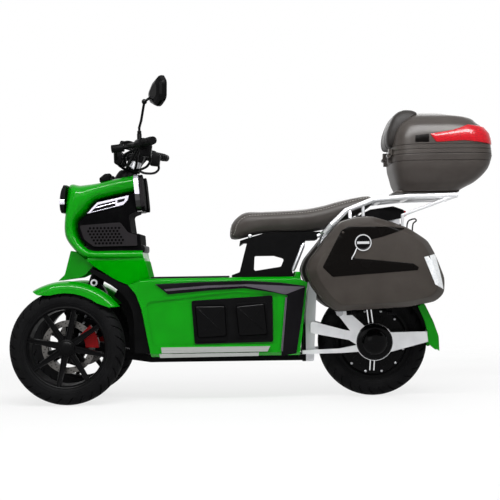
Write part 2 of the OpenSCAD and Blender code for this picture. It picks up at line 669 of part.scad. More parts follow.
// The cowl is one thick band that bends round three sides like a C. Each station gives the outer edge, the
// inner edge and the half width
cowl_stations = [[272, 974, 279, 899, 132], [190, 960, 196, 882, 138], [119, 943, 116, 863, 142],
                 [40, 934, 86, 836, 142], [-14, 930, 66, 808, 140], [-29, 806, 29, 772, 134],
                 [-33, 734, 28, 730, 130], [-20, 690, 45, 690, 132], [22, 640, 76, 660, 136],
                 [80, bar_z[0] + 6, 102, bar_z[1], shield_half_w],
                 [180, bar_z[0], 180, bar_z[1], shield_half_w],
                 [316, bar_z[0], 308, bar_z[1], shield_half_w - 6]];
cowl_points = 24;
cowl_steps = 3;
cowl_rings = [for (c = spline(cowl_stations, cowl_steps))
    [for (i = [0:cowl_points - 1])
        let (p = oval(1, c[4], 5, i, cowl_points), k = (p.x + 1) / 2)
        [c[2] + (c[0] - c[2]) * k, p.y, c[3] + (c[1] - c[3]) * k]]];
lamp_face = [[-13, 936], [-25, 804]];
module cowl() color("#12d01c") difference() {
    loft(cowl_rings);
    // flat front that carries the headlamp panel
    side_plate([lamp_face[0], [-60, lamp_face[0].y], [-60, lamp_face[1].y], lamp_face[1]], -300, 300);
    steer_axis() post(column_r + head_wall + 6, [300, 900]);
}

// Black housing inside the C, with a hexagon grille on each side
panel_path = [[272, 890], [118, 857, 8], [70, 802], [34, 768, 10], [33, 730, 30], [49, 692, 30],
              [78, 665, 20], [104, 655, 10], [304, 655], [300, 716, 6], [262, 722, 8],
              [252, 800, 14], [284, 812, 6], [280, 858], [276, 888]];
grille_path = [[40, 756, 8], [216, 767, 14], [248, 724, 14], [286, 712, 6], [288, 666, 4],
               [102, 664, 14], [60, 696, 20]];
panel_half_w = shield_half_w - cowl_recess;
grille_t = 8;
module inner_panel() color("#131315") difference() {
    union() {
        side_plate(panel_path, -panel_half_w, panel_half_w);
        both_plates(grille_path, panel_half_w - 1, panel_half_w + grille_t);
        // caps that close the bezels
        bezel_axis() both_sides() translate([0, 0, bezel_t + seat_gap]) linear_extrude(16) bezel_outline(3);
    }
    head_bore();
    for (r = [0:5], c = [0:10]) {
        x = 78 + c * hex_w * 1.2 + (r % 2) * hex_w * 0.6;
        z = 678 + r * hex_w;
        if (x < 232 - r * 3.5 && x > 94 - r * 8)
            both_sides() translate([x, panel_half_w + grille_t - 5, z]) rotate([-90, 0, 0])
                cylinder(r = hex_w / 2 - 1, h = 10, $fn = 6);
    }
}

// Bright side frames under the barrel, and the round bezels that close its back
strip_path = [[74, 806], [118, 853], [254, 882], [248, 862], [230, 842, 10]];
strip_hole = [[90, 812], [122, 845], [196, 861], [196, 836]];
strip_hole_2 = [[204, 863], [238, 870], [234, 857], [204, 849]];
bezel_at = [280, 893];
bezel_tilt = 5.33;
bezel_y = 40;
module bezel_outline(inset) polygon(rounded(
    [[-bezel_r + inset, bezel_y + inset, 40 - inset], [bezel_r - inset, bezel_y + inset, 40 - inset],
     [bezel_r - inset, shield_half_w - inset, 46 - inset],
     [-bezel_r + inset, shield_half_w - inset, 46 - inset]]));
// Frame of the bezels: Z points back and up to the rider
module bezel_axis() translate([bezel_at.x, 0, bezel_at.y]) rotate([0, 90 - bezel_tilt, 0]) children();
bezel_t = 20;
module cowl_trims() color("#d6d3dc") {
    both_sides() difference() {
        side_plate(strip_path, panel_half_w + seat_gap, panel_half_w + 9);
        side_plate(strip_hole, panel_half_w + 4, panel_half_w + 20);
        side_plate(strip_hole_2, panel_half_w + 4, panel_half_w + 20);
    }
    bezel_axis() both_sides() linear_extrude(bezel_t) difference() {
        bezel_outline(0);
        bezel_outline(14);
    }
}

// Headlamp panel with two round lamps
lamp_tilt = atan2(lamp_face[0].x - lamp_face[1].x, lamp_face[0].y - lamp_face[1].y);
lamp_u = (lamp_face[0].x + lamp_face[1].x) / 2;
panel_h = 122;
module lamp_axis() translate([lamp_u - seat_gap, 0, (lamp_face[0].y + lamp_face[1].y) / 2])
    rotate([0, -90 + lamp_tilt, 0]) children();
module headlamps() color("#0d0d0f") lamp_axis() difference() {
    union() {
        linear_extrude(14) polygon(rounded(
            [[-panel_h / 2, -136, 30], [panel_h / 2, -136, 30], [panel_h / 2, 136, 30],
             [-panel_h / 2, 136, 30]]));
        for (s = [-1, 1]) translate([0, s * lamp_half_gap, 0]) rotate_extrude($fn = 64)
            polygon(rounded([[lamp_r - 8, 4], [lamp_r + 5, 4], [lamp_r + 3, 22, 5], [lamp_r - 8, 27, 4]]));
    }
    for (s = [-1, 1]) translate([0, s * lamp_half_gap, 6]) cylinder(r = lamp_r - 8, h = 40, $fn = 64);
}

module headlamp_lenses() color("#9aa3ad") lamp_axis() for (s = [-1, 1])
    translate([0, s * lamp_half_gap, 6 + seat_gap]) rotate_extrude($fn = 64)
        polygon(rounded([[0, 0], [lamp_r - 8 - seat_gap, 0], [lamp_r - 8 - seat_gap, 12, 2],
                         [lamp_r - 26, 19, 30], [0, 22]]));

// Painted apron that hangs under the cowl between the wheels
apron_side = [[-66, 519], [-4, 527, 30], [30, 531, 20], [56, 543, 20], [96, 582], [14.8, 645.2],
              [-7.2, 649.2, 6], [-36, 545, 20]];
apron_t = 5;
module apron_plan(inset) linear_extrude(900) polygon(rounded(
    [[-70 + inset, -48 + inset * 0.4, 12], [110, -106 + inset], [110, 106 - inset],
     [-70 + inset, 48 - inset * 0.4, 12]]));
module front_apron() color("#0fb818") difference() {
    intersection() {
        side_plate(apron_side, -120, 120);
        apron_plan(0);
    }
    difference() {
        apron_plan(apron_t);
        // the top stays closed under the cowl
        side_plate([[-80, 640], [-80, 700], [120, 700], [120, 640]], -200, 200);
    }
    head_bore();
}

// Seat

// Each station: along, bottom, top, half width
seat_low = 717;
seat_stations = [[684, 700, 722, 52], [694, 692, 752, 74], [716, 690, 780, 92], [756, 700, 803, 106],
                 [828, seat_low, 802, 118], [920, seat_low, 806, seat_half_w],
                 [1010, seat_low, 812, seat_half_w], [1090, seat_low + 8, 826, 108],
                 [1150, 748, 842, 102], [1224, 780, 858, 98], [1284, 814, 866, 92], [1304, 832, 858, 80]];
seat_points = 24;
module seat() color("#3a3937") loft([for (c = spline(seat_stations, 2))
    [for (i = [0:seat_points - 1])
        let (p = oval((c[2] - c[1]) / 2, c[3], 3.2, i, seat_points))
        [c[0], -p.y, (c[1] + c[2]) / 2 + p.x]]]);

// Pan under the seat, on two bent side plates with a window
pan_path = [[724, 660], [742, 672], [1060, 682], [1076, seat_low - seat_gap],
            [846, seat_low - seat_gap, 60], [752, 690, 20], [728, 682]];
leg_path = [[seat_leg_front + 72, 690], [seat_leg_front + 34, deck_z + 22, 8], [seat_leg_front, deck_z + 10],
            [seat_leg_front, deck_z + seat_gap], [seat_leg_rear, deck_z + seat_gap],
            [seat_leg_rear, deck_z + 10], [seat_leg_rear - 8, deck_z + 22, 8], [seat_leg_rear + 58, 690]];
leg_window = [[790, 616, 8], [876, 616, 10], [922, 602, 8], [908, 568, 10], [786, 550, 8]];
leg_y = 88;
module seat_frame() color("#19191b") {
    side_plate(pan_path, -leg_y, leg_y);
    difference() {
        both_plates(leg_path, leg_y - plate_t, leg_y);
        side_plate(leg_window, -200, 200);
    }
    // front and rear cross webs between the side plates
    side_plate([[762, 690], [738, 600], [746, 598], [772, 690]], -leg_y, leg_y);
    side_plate([[seat_leg_rear, deck_z + 10], [seat_leg_rear, deck_z + seat_gap],
                [seat_leg_front, deck_z + seat_gap], [seat_leg_front, deck_z + 6]], -leg_y, leg_y);
}

tail_u = [1130, 1446];
tail_path = [[tail_u[0], 734], [1150, 741], [1224, 772], [1290, 808, 10], [1392, 822, 10],
             [tail_u[1] - 6, 806, 10], [tail_u[1], 776, 10], [1424, 769 + seat_gap],
             [tail_u[0], 720 + seat_gap]];
tail_half_w = 100;
module tail_housing() color("#161618") intersection() {
    side_plate(tail_path, -tail_half_w, tail_half_w);
    linear_extrude(1000) polygon(rounded(
        [[tail_u[0] - 10, -tail_half_w], [tail_u[1] - 116, -tail_half_w, 40],
         [tail_u[1] + 4, -tail_half_w + 30, 20], [tail_u[1] + 4, tail_half_w - 30, 20],
         [tail_u[1] - 116, tail_half_w, 40], [tail_u[0] - 10, tail_half_w]]));
}

module tail_lamp() color("#c3121a")
    side_plate([[tail_u[1] - 0.3, 779], [tail_u[1] + 7, 781, 3], [tail_u[1] + 3, 803, 3],
                [tail_u[1] - 5.3, 804]], -tail_half_w + 38, tail_half_w - 38);

// Rack and the rails that the panniers hang on
rack_y = 126;
rack_foot = [1096, plate_y[1] + rack_r + 1, 712];
rack_cross = [[1338, 850], [1452, 860], [1655, 864]];
rack_side = [rack_foot, [1124, rack_y, 746], [1184, rack_y, 803],
             [1299, rack_y, 847], [rack_cross[1].x, rack_y, rack_cross[1].y],
             [rack_cross[2].x + 7, rack_y, rack_cross[2].y]];
rail_r = 8;
rail_y = pannier_y - rail_r - seat_gap;
rail_u = [1200, 1424];
rail_low = 500;
case_foot = rack_cross[2].y + rack_r + seat_gap;
module rear_rack() color("#dadcde") {
    both_sides() {
        swept_tube(rack_side, rack_r, [0, 1, 0]);
        // pannier loop, and the diagonal that carries its back
        swept_tube([[rail_u[0], rack_y, 808], [rail_u[0], rail_y, 770], [rail_u[0], rail_y, rail_low],
                    [rail_u[1], rail_y, rail_low], [rail_u[1], rail_y, 780],
                    [rack_cross[2].x, rack_y, rack_cross[2].y - 2]], rail_r, [0, 1, 0], 10);
        bar([1257, rack_y, 831], [1257, rail_y, rail_low], rail_r - 1);
        // boss that bolts to the tail plate
        translate([rack_foot.x + 6, plate_y[1] + seat_gap, rack_foot.z - 10]) rotate([-90, 0, 0])
            cylinder(r = rack_r - 1, h = rack_r + 4);
    }
    for (p = rack_cross)
        translate([p.x, 0, p.y]) rotate([90, 0, 0])
            cylinder(r = rack_r - seat_gap, h = 2 * rack_y, center = true);
}

// Luggage cases

// Ring of a case, rounded in plan, with its walls drawn in by an inset
case_points = 28;
function case_ring(c, inset) = [for (i = [0:case_points - 1])
    let (p = oval((c[1] - c[0]) / 2 - inset, c[2] - inset, 5, i, case_points))
    [(c[0] + c[1]) / 2 + p.x, p.y, c[3]]];
tub_h = 162;
case_split = case_foot + tub_h;
lid_h = 190;
// What each station of a case stands in by: at the front, at the rear and at the sides, then its share
// of the height
tub_steps = [[33, 144, 52, 0.05], [26, 114, 40, 0.154], [18, 76, 26, 0.275], [11, 40, 14, 0.459],
             [3, 14, 4, 0.666], [0, 0, 0, 0.93], [0, 0, 0, 0.994]];
lid_steps = [[0, 0, 0, 0.006], [1, 1, 1, 0.109], [5, 8, 4, 0.37], [13, 20, 10, 0.543], [27, 58, 22, 0.696],
             [55, 89, 50, 0.837], [77, 160, 80, 0.913], [101, 217, 120, 0.978], [125, 250, 150, 1]];
function stations(steps, z, h) =
    [for (s = steps) [case_front + s[0], case_rear - s[1], case_half_w - s[2], z + h * s[3]]];
tub_stations = stations(tub_steps, case_foot, tub_h);
lid_stations = stations(lid_steps, case_split, lid_h);
function drawn_in(st, dz) = [for (c = st) [c[0], c[1], c[2], c[3] + dz]];
hinge_r = 9;
hinge_pin_r = 4;
case_hinge = [case_front - hinge_r - 1, case_split];
lug_y = [70, 110];
lug_w = 14;
lug_gap = 0.5;
// Plate under the tub that stands on the rack, hollow below but for its rear rim
mount_u = [case_front + 10, case_front + 294];
mount_half_w = rack_y - 14;
mount_t = 12;
mount_rim = 36;

module top_case_tub() color("#2c2b2a") {
    difference() {
        loft([for (c = tub_stations) case_ring(c, 0)]);
        loft([for (c = drawn_in(tub_stations, case_wall)) case_ring(c, case_wall)]);
    }
    // mounting plate and hinge lugs with their pins
    difference() {
        translate([mount_u[0], -mount_half_w, case_foot])
            cube([mount_u[1] - mount_u[0], 2 * mount_half_w, mount_t]);
        translate([mount_u[0] + mount_t, -mount_half_w + 16, case_foot - 1])
            cube([mount_u[1] - mount_u[0] - mount_t - mount_rim, 2 * mount_half_w - 32, mount_t / 2]);
    }
    both_sides() translate([case_hinge.x, lug_y[0], case_hinge.y]) {
        rotate([-90, 0, 0]) cylinder(r = hinge_r, h = lug_w);
        translate([0, 0, -30]) cube([hinge_r + 4, lug_w, 30]);
        rotate([-90, 0, 0]) cylinder(r = hinge_pin_r, h = lug_y[1] - lug_y[0]);
    }
}

module top_case_lid() color("#2c2b2a") {
    difference() {
        loft([for (c = lid_stations) case_ring(c, 0)]);
        loft([for (c = drawn_in(lid_stations, -case_wall)) case_ring(c, case_wall)]);
    }
    both_sides() difference() {
        translate([case_hinge.x, lug_y[0] + lug_w + lug_gap, case_hinge.y]) {
            rotate([-90, 0, 0]) cylinder(r = hinge_r, h = lug_y[1] - lug_y[0] - lug_w - lug_gap);
            translate([0, 0, 3]) cube([hinge_r + 4, lug_y[1] - lug_y[0] - lug_w - lug_gap, 30]);
        }
        translate([case_hinge.x, lug_y[0], case_hinge.y]) rotate([-90, 0, 0])
            cylinder(r = hinge_pin_r + run_gap, h = 80);
    }
}

// Red lamp strip round the back of the lid
reflector_path = [[case_rear - 278, case_split + 83], [case_rear - 185, case_split + 97],
                  [case_rear - 97, case_split + 121], [case_rear + 40, case_split + 115],
                  [case_rear + 40, case_split + 42], [case_rear - 256, case_split + 47]];
reflector_t = 6;
module top_case_reflector() color("#e3122a") intersection() {
    difference() {
        loft([for (c = lid_stations) case_ring(c, -reflector_t)]);
        loft([for (c = lid_stations) case_ring(c, -seat_gap)]);
    }
    side_plate(reflector_path, -300, 300);
}

// Backrest pad on the front of the lid: its side outline, from the lid's lower front edge, and its half width
pad_steps = [[-13, 36, 4], [-20, 50, 30], [-22, 75, 60], [-18, 107, 60], [-5, 141, 60], [12, 175, 30],
             [34, 193, 30], [60, 201, 40], [95, 199, 30], [119, 188, 5], [112, 165, 0], [55, 130, 0],
             [30, 90, 0], [16, 36, 0]];
pad_path = [for (p = pad_steps) [case_front + p.x, case_split + p.y, p.z]];
pad_half_w = 130;
module top_case_pad() color("#343331") difference() {
    side_plate(pad_path, -pad_half_w, pad_half_w);
    loft([for (c = lid_stations) case_ring(c, -seat_gap)]);
}

// Side outline of a pannier
pannier_path = [[1143, 751, 30], [1212, 769, 60], [1275, 772, 60], [1357, 748, 60], [1432, 719, 60],
                [1508, 668, 40], [1539, 610, 40], [1577, 509, 30], [1574, 446, 20], [1539, 415, 20],
                [1420, 392, 60], [1124, 378, 20], [1080, 409, 20], [1023, 486, 30], [998, 549, 20],
                [1017, 599, 20]];
pannier_mid = [1290, 570];
pannier_outline = rounded(pannier_path, 1);
// Ring of a pannier at a depth from its inner face, drawn towards its middle by a share and an inset
function pannier_ring(y, share, inset) = [for (p = pannier_outline)
    let (d = p - pannier_mid, q = pannier_mid + d * (share - inset / norm(d))) [q.x, y, q.y]];
pannier_hinge_z = 368;
pannier_hinge = [pannier_y + tub_depth, pannier_hinge_z];
pannier_lugs = [1170, 1340];
pannier_lug = [18, 13, 34];
pannier_lug_r = 8;
lid_lug = [21, 13, 34];
lock_at = [1230, 658];
lock_r = 36;
module pannier_tub(side) color("#2d2b2a") on_side(side) {
    difference() {
        loft([for (s = [[0, 0.94], [14, 1], [tub_depth - 1, 1]]) pannier_ring(pannier_y + s[0], s[1], 0)]);
        loft([for (s = [[case_wall, 0.94], [14 + case_wall, 1], [tub_depth + 9, 1]])
            pannier_ring(pannier_y + s[0], s[1], case_wall * 1.3)]);
    }
    for (x = pannier_lugs) translate([x, pannier_hinge.x, pannier_hinge.y]) {
        rotate([0, 90, 0]) cylinder(r = pannier_lug_r, h = pannier_lug.x);
        translate([0, -1 - pannier_lug.y, 0]) cube(pannier_lug);
        rotate([0, 90, 0]) cylinder(r = hinge_pin_r, h = pannier_lug.x + lug_gap + lid_lug.x + lug_gap);
    }
}

module pannier_lid(side) color("#262423") on_side(side) {
    y0 = pannier_y + tub_depth;
    difference() {
        loft([for (s = [[1, 1], [lid_depth * 0.55, 0.985], [lid_depth * 0.84, 0.9], [lid_depth, 0.76]])
            pannier_ring(y0 + s[0], s[1], 0)]);
        loft([for (s = [[-1, 1], [lid_depth * 0.55 - case_wall, 0.985], [lid_depth * 0.84 - case_wall, 0.9],
                        [lid_depth - case_wall, 0.76]]) pannier_ring(y0 + s[0], s[1], case_wall * 1.3)]);
    }
    // lock
    translate([lock_at.x, y0 + lid_depth - 3, lock_at.y]) rotate([-90, 0, 0]) difference() {
        cylinder(r = lock_r, h = 7);
        translate([0, 0, 4]) cylinder(r = lock_r - 8, h = 10);
    }
    difference() {
        for (x = pannier_lugs)
            translate([x + pannier_lug.x + lug_gap, pannier_hinge.x, pannier_hinge.y]) {
                rotate([0, 90, 0]) cylinder(r = pannier_lug_r, h = lid_lug.x);
                translate([0, 1, 0]) cube(lid_lug);
            }
        for (x = pannier_lugs) translate([x, pannier_hinge.x, pannier_hinge.y]) rotate([0, 90, 0])
            cylinder(r = hinge_pin_r + run_gap, h = 60);
    }
}

// Handlebar

bar_mid = [steer_point(column_top - 8).x, steer_point(column_top - 8).y];
housing_len = 58;
bar_bend = [bar_mid.x + 4, handlebar_w / 8, bar_mid.y + 14];
bar_turn = [bar_mid.x + 16, handlebar_w / 2 - grip_len - housing_len, bar_mid.y + 32];
bar_end = [bar_mid.x + 98, handlebar_w / 2 - 4, bar_mid.y + 28];
bar_way = (bar_end - bar_turn) / norm(bar_end - bar_turn);
function on_grip(t) = bar_end - bar_way * t;
module handlebar() color("#26272a") {
    steer_axis() {
        post(column_r, [pitman_plate[0], column_top]);
        // pitman arm
        translate([0, 0, pitman_plate[0]]) linear_extrude(pitman_plate[1] - pitman_plate[0]) union() {
            circle(r = column_r + 5);
            translate([-steer_arm, 0]) circle(r = rod_eye_r);
            translate([-steer_arm, -9]) square([steer_arm, 18]);
        }
        translate([-steer_arm, 0, 0]) post(rod_pin_r, [rod_level - 7, pitman_plate[1]]);
        // top clamp
        translate([0, 0, column_top - 30]) linear_extrude(42) polygon(rounded(
            [[-26, -34, 10], [30, -34, 10], [30, 34, 10], [-26, 34, 10]]));
    }
    tube_path([[bar_bend.x, -bar_bend.y, bar_bend.z], [bar_mid.x, -30, bar_mid.y],
               [bar_mid.x, 30, bar_mid.y], bar_bend], bar_r);
    both_sides() tube_path([bar_bend, bar_turn, on_grip(grip_len + 2)], bar_r);
    both_sides() translate(bar_bend) sphere(r = bar_r + 0.4);
}

// Grips, switch housings, brake levers, indicators, and a boss for a mirror on the right
mirror_boss = on_grip(grip_len + 46) + [0, 0, 24];
boss_thread_r = 4;
boss_depth = 18;
module bar_controls() color("#161618") {
    both_sides() {
        bar(on_grip(grip_len), bar_end, grip_r);
        for (k = [0:5]) bar(on_grip(grip_len - 12 - 16 * k), on_grip(grip_len - 18 - 16 * k), grip_r + 1.6);
        difference() {
            bar(on_grip(grip_len + housing_len), on_grip(grip_len - 3), 22);
            bar(on_grip(grip_len + 80), on_grip(grip_len - 20), bar_r + seat_gap);
        }
        // lever: a clamp arm, then a blade in front of the grip
        tube_path([on_grip(grip_len + 30) + [-20, 0, 0], on_grip(grip_len + 12) + [-56, 0, -6],
                   on_grip(30) + [-62, 0, -12], on_grip(-2) + [-56, 0, -12]], 7);
        // indicator on a short stalk
        tube_path([on_grip(grip_len + 50) + [-20, 0, -8], on_grip(grip_len + 60) + [-70, 0, -14]], 8);
        bar(on_grip(grip_len + 60) + [-62, 0, -13], on_grip(grip_len + 64) + [-112, 0, -18], 17);
    }
    // mirror bosses
    difference() {
        both_sides() translate(mirror_boss - [0, 0, 8]) cylinder(r = 10, h = boss_depth + 8);
        translate(mirror_boss) cylinder(r = boss_thread_r, h = 40);
        mirror([0, 1, 0]) translate(mirror_boss) cylinder(r = boss_thread_r + run_gap, h = 40);
    }
}

display_at = [bar_mid.x - 30, bar_mid.y + 44];
module display() color("#101113") {
    translate([display_at.x, 0, display_at.y]) rotate([0, 10, 0]) difference() {
        rotate([90, 0, 0]) linear_extrude(116, center = true) polygon(rounded(
            [[-40, -10, 8], [48, -16, 8], [46, 14, 8], [-46, 14, 8]]));
        translate([-36, -50, 12]) cube([74, 100, 10]);
    }
    // neck down to the clamp
    steer_axis() translate([-8, 0, 0]) post(14, [column_top + 12 + seat_gap, column_top + 32]);
}

// Mirror on the left: stalk, elbow and a leaf-shaped domed shell. Its glass looks back and in
mirror_foot = [mirror_boss.x, -mirror_boss.y, mirror_boss.z];
mirror_nut_r = 9;
mirror_stalk_r = 5.5;
mirror_knee = mirror_foot + [10, -14, 74];
mirror_elbow = mirror_foot + [26, -34, 150];
mirror_head = mirror_foot + [86, -46, 188];
mirror_turn = 35;
// Outline of the shell: across it, and up
head_path = [[30, 69, 10], [-22, 46, 60], [-66, 0, 24], [-58, -38, 24], [0, -64, 36], [54, -34, 30],
             [57, 40, 30]];
// The shell's steps towards its back: share of the outline, depth
head_steps = [[1, -9], [1, 2], [0.94, 12], [0.78, 20], [0.5, 26]];
glass_share = 0.88;
glass_t = 3;
function head_ring(share, z) = [for (p = rounded(head_path, 3)) [p.x * share, p.y * share, z]];
function head_outline(share) = [for (p = rounded(head_path, 3)) p * share];
// Frame of the head: X across, Y up, Z out of its back
module mirror_frame() translate(mirror_head) rotate([0, 0, mirror_turn - 90]) rotate([90, 0, 0]) children();
module mirror_arm() color("#111214") {
    translate(mirror_foot) cylinder(r = boss_thread_r, h = 30);
    translate(mirror_foot + [0, 0, boss_depth + seat_gap]) cylinder(r = mirror_nut_r, h = 13);
    tube_path([mirror_foot + [0, 0, 20], mirror_foot + [0, 0, 46], mirror_knee, mirror_elbow, mirror_head],
              mirror_stalk_r);
    translate(mirror_elbow) sphere(r = 2.1 * mirror_stalk_r);
    mirror_frame() difference() {
        loft([for (h = head_steps) head_ring(h[0], h[1])]);
        translate([0, 0, head_steps[0][1] - 1]) linear_extrude(glass_t + 2)
            polygon(head_outline(glass_share));
    }
}

module mirror_glass() color("#aab3bb") mirror_frame() translate([0, 0, head_steps[0][1] + 1 - seat_gap])
    linear_extrude(glass_t) polygon(head_outline(glass_share - 0.01));

from_front_axle() frame();
from_front_axle() floor_body();
from_front_axle() battery_pack();
from_front_axle() battery_covers();
from_front_axle() side_trims();
from_front_axle() side_rails();
from_front_axle() floor_mat();
from_front_axle() splash_shield();
from_front_axle() cowl();
from_front_axle() leg_shield();
from_front_axle() inner_panel();
from_front_axle() cowl_trims();
from_front_axle() headlamps();
from_front_axle() headlamp_lenses();
from_front_axle() front_apron();
from_front_axle() wishbones();
from_front_axle() front_shocks();
from_front_axle() seat();
from_front_axle() seat_frame();
from_front_axle() tail_housing();
from_front_axle() tail_lamp();
from_front_axle() rear_rack();
from_front_axle() top_case_tub();
from_front_axle() pannier_tub(left);  // pannier_tub_left
from_front_axle() pannier_tub(right);  // pannier_tub_right
from_front_axle() swingarm(left);  // swingarm_left
from_front_axle() swingarm(right);  // swingarm_right
from_front_axle() rear_shocks();
from_front_axle() rear_mudguard();
from_front_axle() rear_blade();
from_front_axle() motor_covers();
from_front_axle() handlebar();
from_front_axle() bar_controls();
from_front_axle() display();
from_front_axle() mirror_arm();
from_front_axle() mirror_glass();
from_front_axle() tie_rod();
from_front_axle() knuckle(left);  // knuckle_left
from_front_axle() knuckle(right);  // knuckle_right
from_front_axle() fender(left);  // fender_left
from_front_axle() fender(right);  // fender_right
from_front_axle() caliper(left);  // caliper_left
from_front_axle() caliper(right);  // caliper_right
from_front_axle() front_tyre(left);  // front_tyre_left
from_front_axle() front_tyre(right);  // front_tyre_right
from_front_axle() front_rim(left);  // front_rim_left
from_front_axle() front_rim(right);  // front_rim_right
from_front_axle() brake_disc(left);  // brake_disc_left
from_front_axle() brake_disc(right);  // brake_disc_right
from_front_axle() rear_tyre();
from_front_axle() rear_hub();
from_front_axle() top_case_lid();
from_front_axle() top_case_pad();
from_front_axle() top_case_reflector();
from_front_axle() pannier_lid(left);  // pannier_lid_left
from_front_axle() pannier_lid(right);  // pannier_lid_right
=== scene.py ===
import math
import bpy
import numpy as np
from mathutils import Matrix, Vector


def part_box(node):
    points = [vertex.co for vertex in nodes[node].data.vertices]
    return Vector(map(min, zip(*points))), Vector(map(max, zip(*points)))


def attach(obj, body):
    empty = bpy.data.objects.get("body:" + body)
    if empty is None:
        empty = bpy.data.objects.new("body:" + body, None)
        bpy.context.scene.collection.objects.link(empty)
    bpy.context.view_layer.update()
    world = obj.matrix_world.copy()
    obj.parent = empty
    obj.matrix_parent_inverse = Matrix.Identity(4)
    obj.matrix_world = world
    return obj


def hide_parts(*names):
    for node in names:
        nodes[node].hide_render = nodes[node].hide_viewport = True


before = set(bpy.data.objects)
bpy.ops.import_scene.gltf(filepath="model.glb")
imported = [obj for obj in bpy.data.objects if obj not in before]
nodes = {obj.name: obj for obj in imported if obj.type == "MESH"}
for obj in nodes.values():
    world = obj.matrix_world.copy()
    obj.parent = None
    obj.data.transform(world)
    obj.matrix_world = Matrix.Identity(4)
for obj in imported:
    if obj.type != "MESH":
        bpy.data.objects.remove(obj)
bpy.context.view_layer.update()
scene = bpy.context.scene
print("frame loaded with", len(nodes), "nodes")

mm = 0.001  # every size below is written in millimetres
lowCorner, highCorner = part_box("front_tyre_left")
frontAxle = np.array([(lowCorner[0] + highCorner[0]) / 2, 0, (lowCorner[2] + highCorner[2]) / 2]) / mm
frontTyre = {
    "radius": (highCorner[0] - lowCorner[0]) / 2 / mm, "width": (highCorner[1] - lowCorner[1]) / mm,
    "y": (highCorner[1] + lowCorner[1]) / 2 / mm}
lowCorner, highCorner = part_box("rear_tyre")
rearAxle = np.array([(lowCorner[0] + highCorner[0]) / 2, 0, (lowCorner[2] + highCorner[2]) / 2]) / mm
rearTyre = {
    "radius": (highCorner[0] - lowCorner[0]) / 2 / mm, "width": (highCorner[1] - lowCorner[1]) / mm, "y": 0}
leftFirst = (("left", -1), ("right", 1))
acrossWay = np.array([0, 1, 0])
noiseBand = (0.3, 0.7)  # nearly all values of a noise pattern lie between these


def linearColor(hexText):  # sRGB hex to the linear values that Blender's sockets take
    raw = np.array([int(hexText[k:k + 2], 16) / 255 for k in (1, 3, 5)])
    return (*np.where(raw <= 0.04045, raw / 12.92, ((raw + 0.055) / 1.055) ** 2.4), 1.0)


def addNode(tree, kind, links=None, **settings):
    # adds a node, sets its properties and sockets, and wires its inputs
    node = tree.nodes.new("ShaderNode" + kind)
    for key, value in settings.items():
        if hasattr(node, key):
            setattr(node, key, value)
        else:
            node.inputs[key.replace("_", " ")].default_value = value
    for key, source in (links or {}).items():
        tree.links.new(source, node.inputs[key])
    return node


def startMaterial(name, color, **settings):  # a Principled surface with one base colour, ready for patterns
    material = bpy.data.materials.new(name)
    material.use_nodes = True
    tree = material.node_tree
    shader = tree.nodes["Principled BSDF"]
    shader.inputs["Base Color"].default_value = linearColor(color)
    for key, value in settings.items():
        shader.inputs[key.replace("_", " ")].default_value = value
    coords = addNode(tree, "TexCoord").outputs["Object"]
    return material, tree, shader, coords


def mottle(tree, shader, coords, dark, light, sizeMm):  # soft drift of colour over patches of a real size
    noise = addNode(tree, "TexNoise", {"Vector": coords}, Scale=1 / (sizeMm * mm), Detail=3)
    ramp = addNode(tree, "ValToRGB", {"Fac": noise.outputs["Fac"]})
    for stop, place, color in zip(ramp.color_ramp.elements, noiseBand, (dark, light)):
        stop.position = place
        stop.color = linearColor(color)
    tree.links.new(ramp.outputs["Color"], shader.inputs["Base Color"])


def scuff(tree, shader, coords, low, high, sizeMm):  # roughness that wanders between two values
    noise = addNode(tree, "TexNoise", {"Vector": coords}, Scale=1 / (sizeMm * mm), Detail=4)
    band = addNode(tree, "MapRange", {"Value": noise.outputs["Fac"]}, From_Min=noiseBand[0],
                   From_Max=noiseBand[1],
                   To_Min=low, To_Max=high)
    tree.links.new(band.outputs["Result"], shader.inputs["Roughness"])


def grain(tree, shader, coords, sizeMm, depthMm, cells=False):  # fine relief of a moulded or grained skin
    if cells:
        pattern = addNode(tree, "TexVoronoi", {"Vector": coords}, Scale=1 / (sizeMm * mm),
                          feature="SMOOTH_F1")
        height = pattern.outputs["Distance"]
    else:
        pattern = addNode(tree, "TexNoise", {"Vector": coords}, Scale=1 / (sizeMm * mm), Detail=2)
        height = pattern.outputs["Fac"]
    bump = addNode(tree, "Bump", {"Height": height}, Strength=1.0, Distance=depthMm * mm)
    tree.links.new(bump.outputs["Normal"], shader.inputs["Normal"])


def paintPast(tree, shader, coords, hexText, limits):
    # another colour past every limit (axis, edge in mm, +1 above it or -1 below it), over a narrow soft edge
    parts = addNode(tree, "SeparateXYZ", {"Vector": coords}).outputs
    mask, soft = None, 0.3
    for axis, edge, way in limits:
        value = parts[axis]
        if axis == "Y":
            value = addNode(tree, "Math", {0: value}, operation="ABSOLUTE").outputs[0]
        band = addNode(tree, "MapRange", {"Value": value}, From_Min=(edge - soft * way) * mm,
                       From_Max=(edge + soft * way) * mm).outputs["Result"]
        mask = band if mask is None else addNode(tree, "Math", {0: mask, 1: band},
                                                 operation="MULTIPLY").outputs[0]
    base = shader.inputs["Base Color"]
    mix = addNode(tree, "Mix", {"Factor": mask, "A": base.links[0].from_socket}, data_type="RGBA")
    mix.inputs["B"].default_value = linearColor(hexText)
    tree.links.new(mix.outputs["Result"], base)


def makeFinish(name, color, mottled=None, scuffed=None, grained=None, painted=None, **settings):
    # a material with its patterns, each given by the values of the function that draws it
    material, *wiring = startMaterial(name, color, **settings)
    for pattern, values in ((mottle, mottled), (scuff, scuffed), (grain, grained), (paintPast, painted)):
        if values:
            pattern(*wiring, *values)
    return material


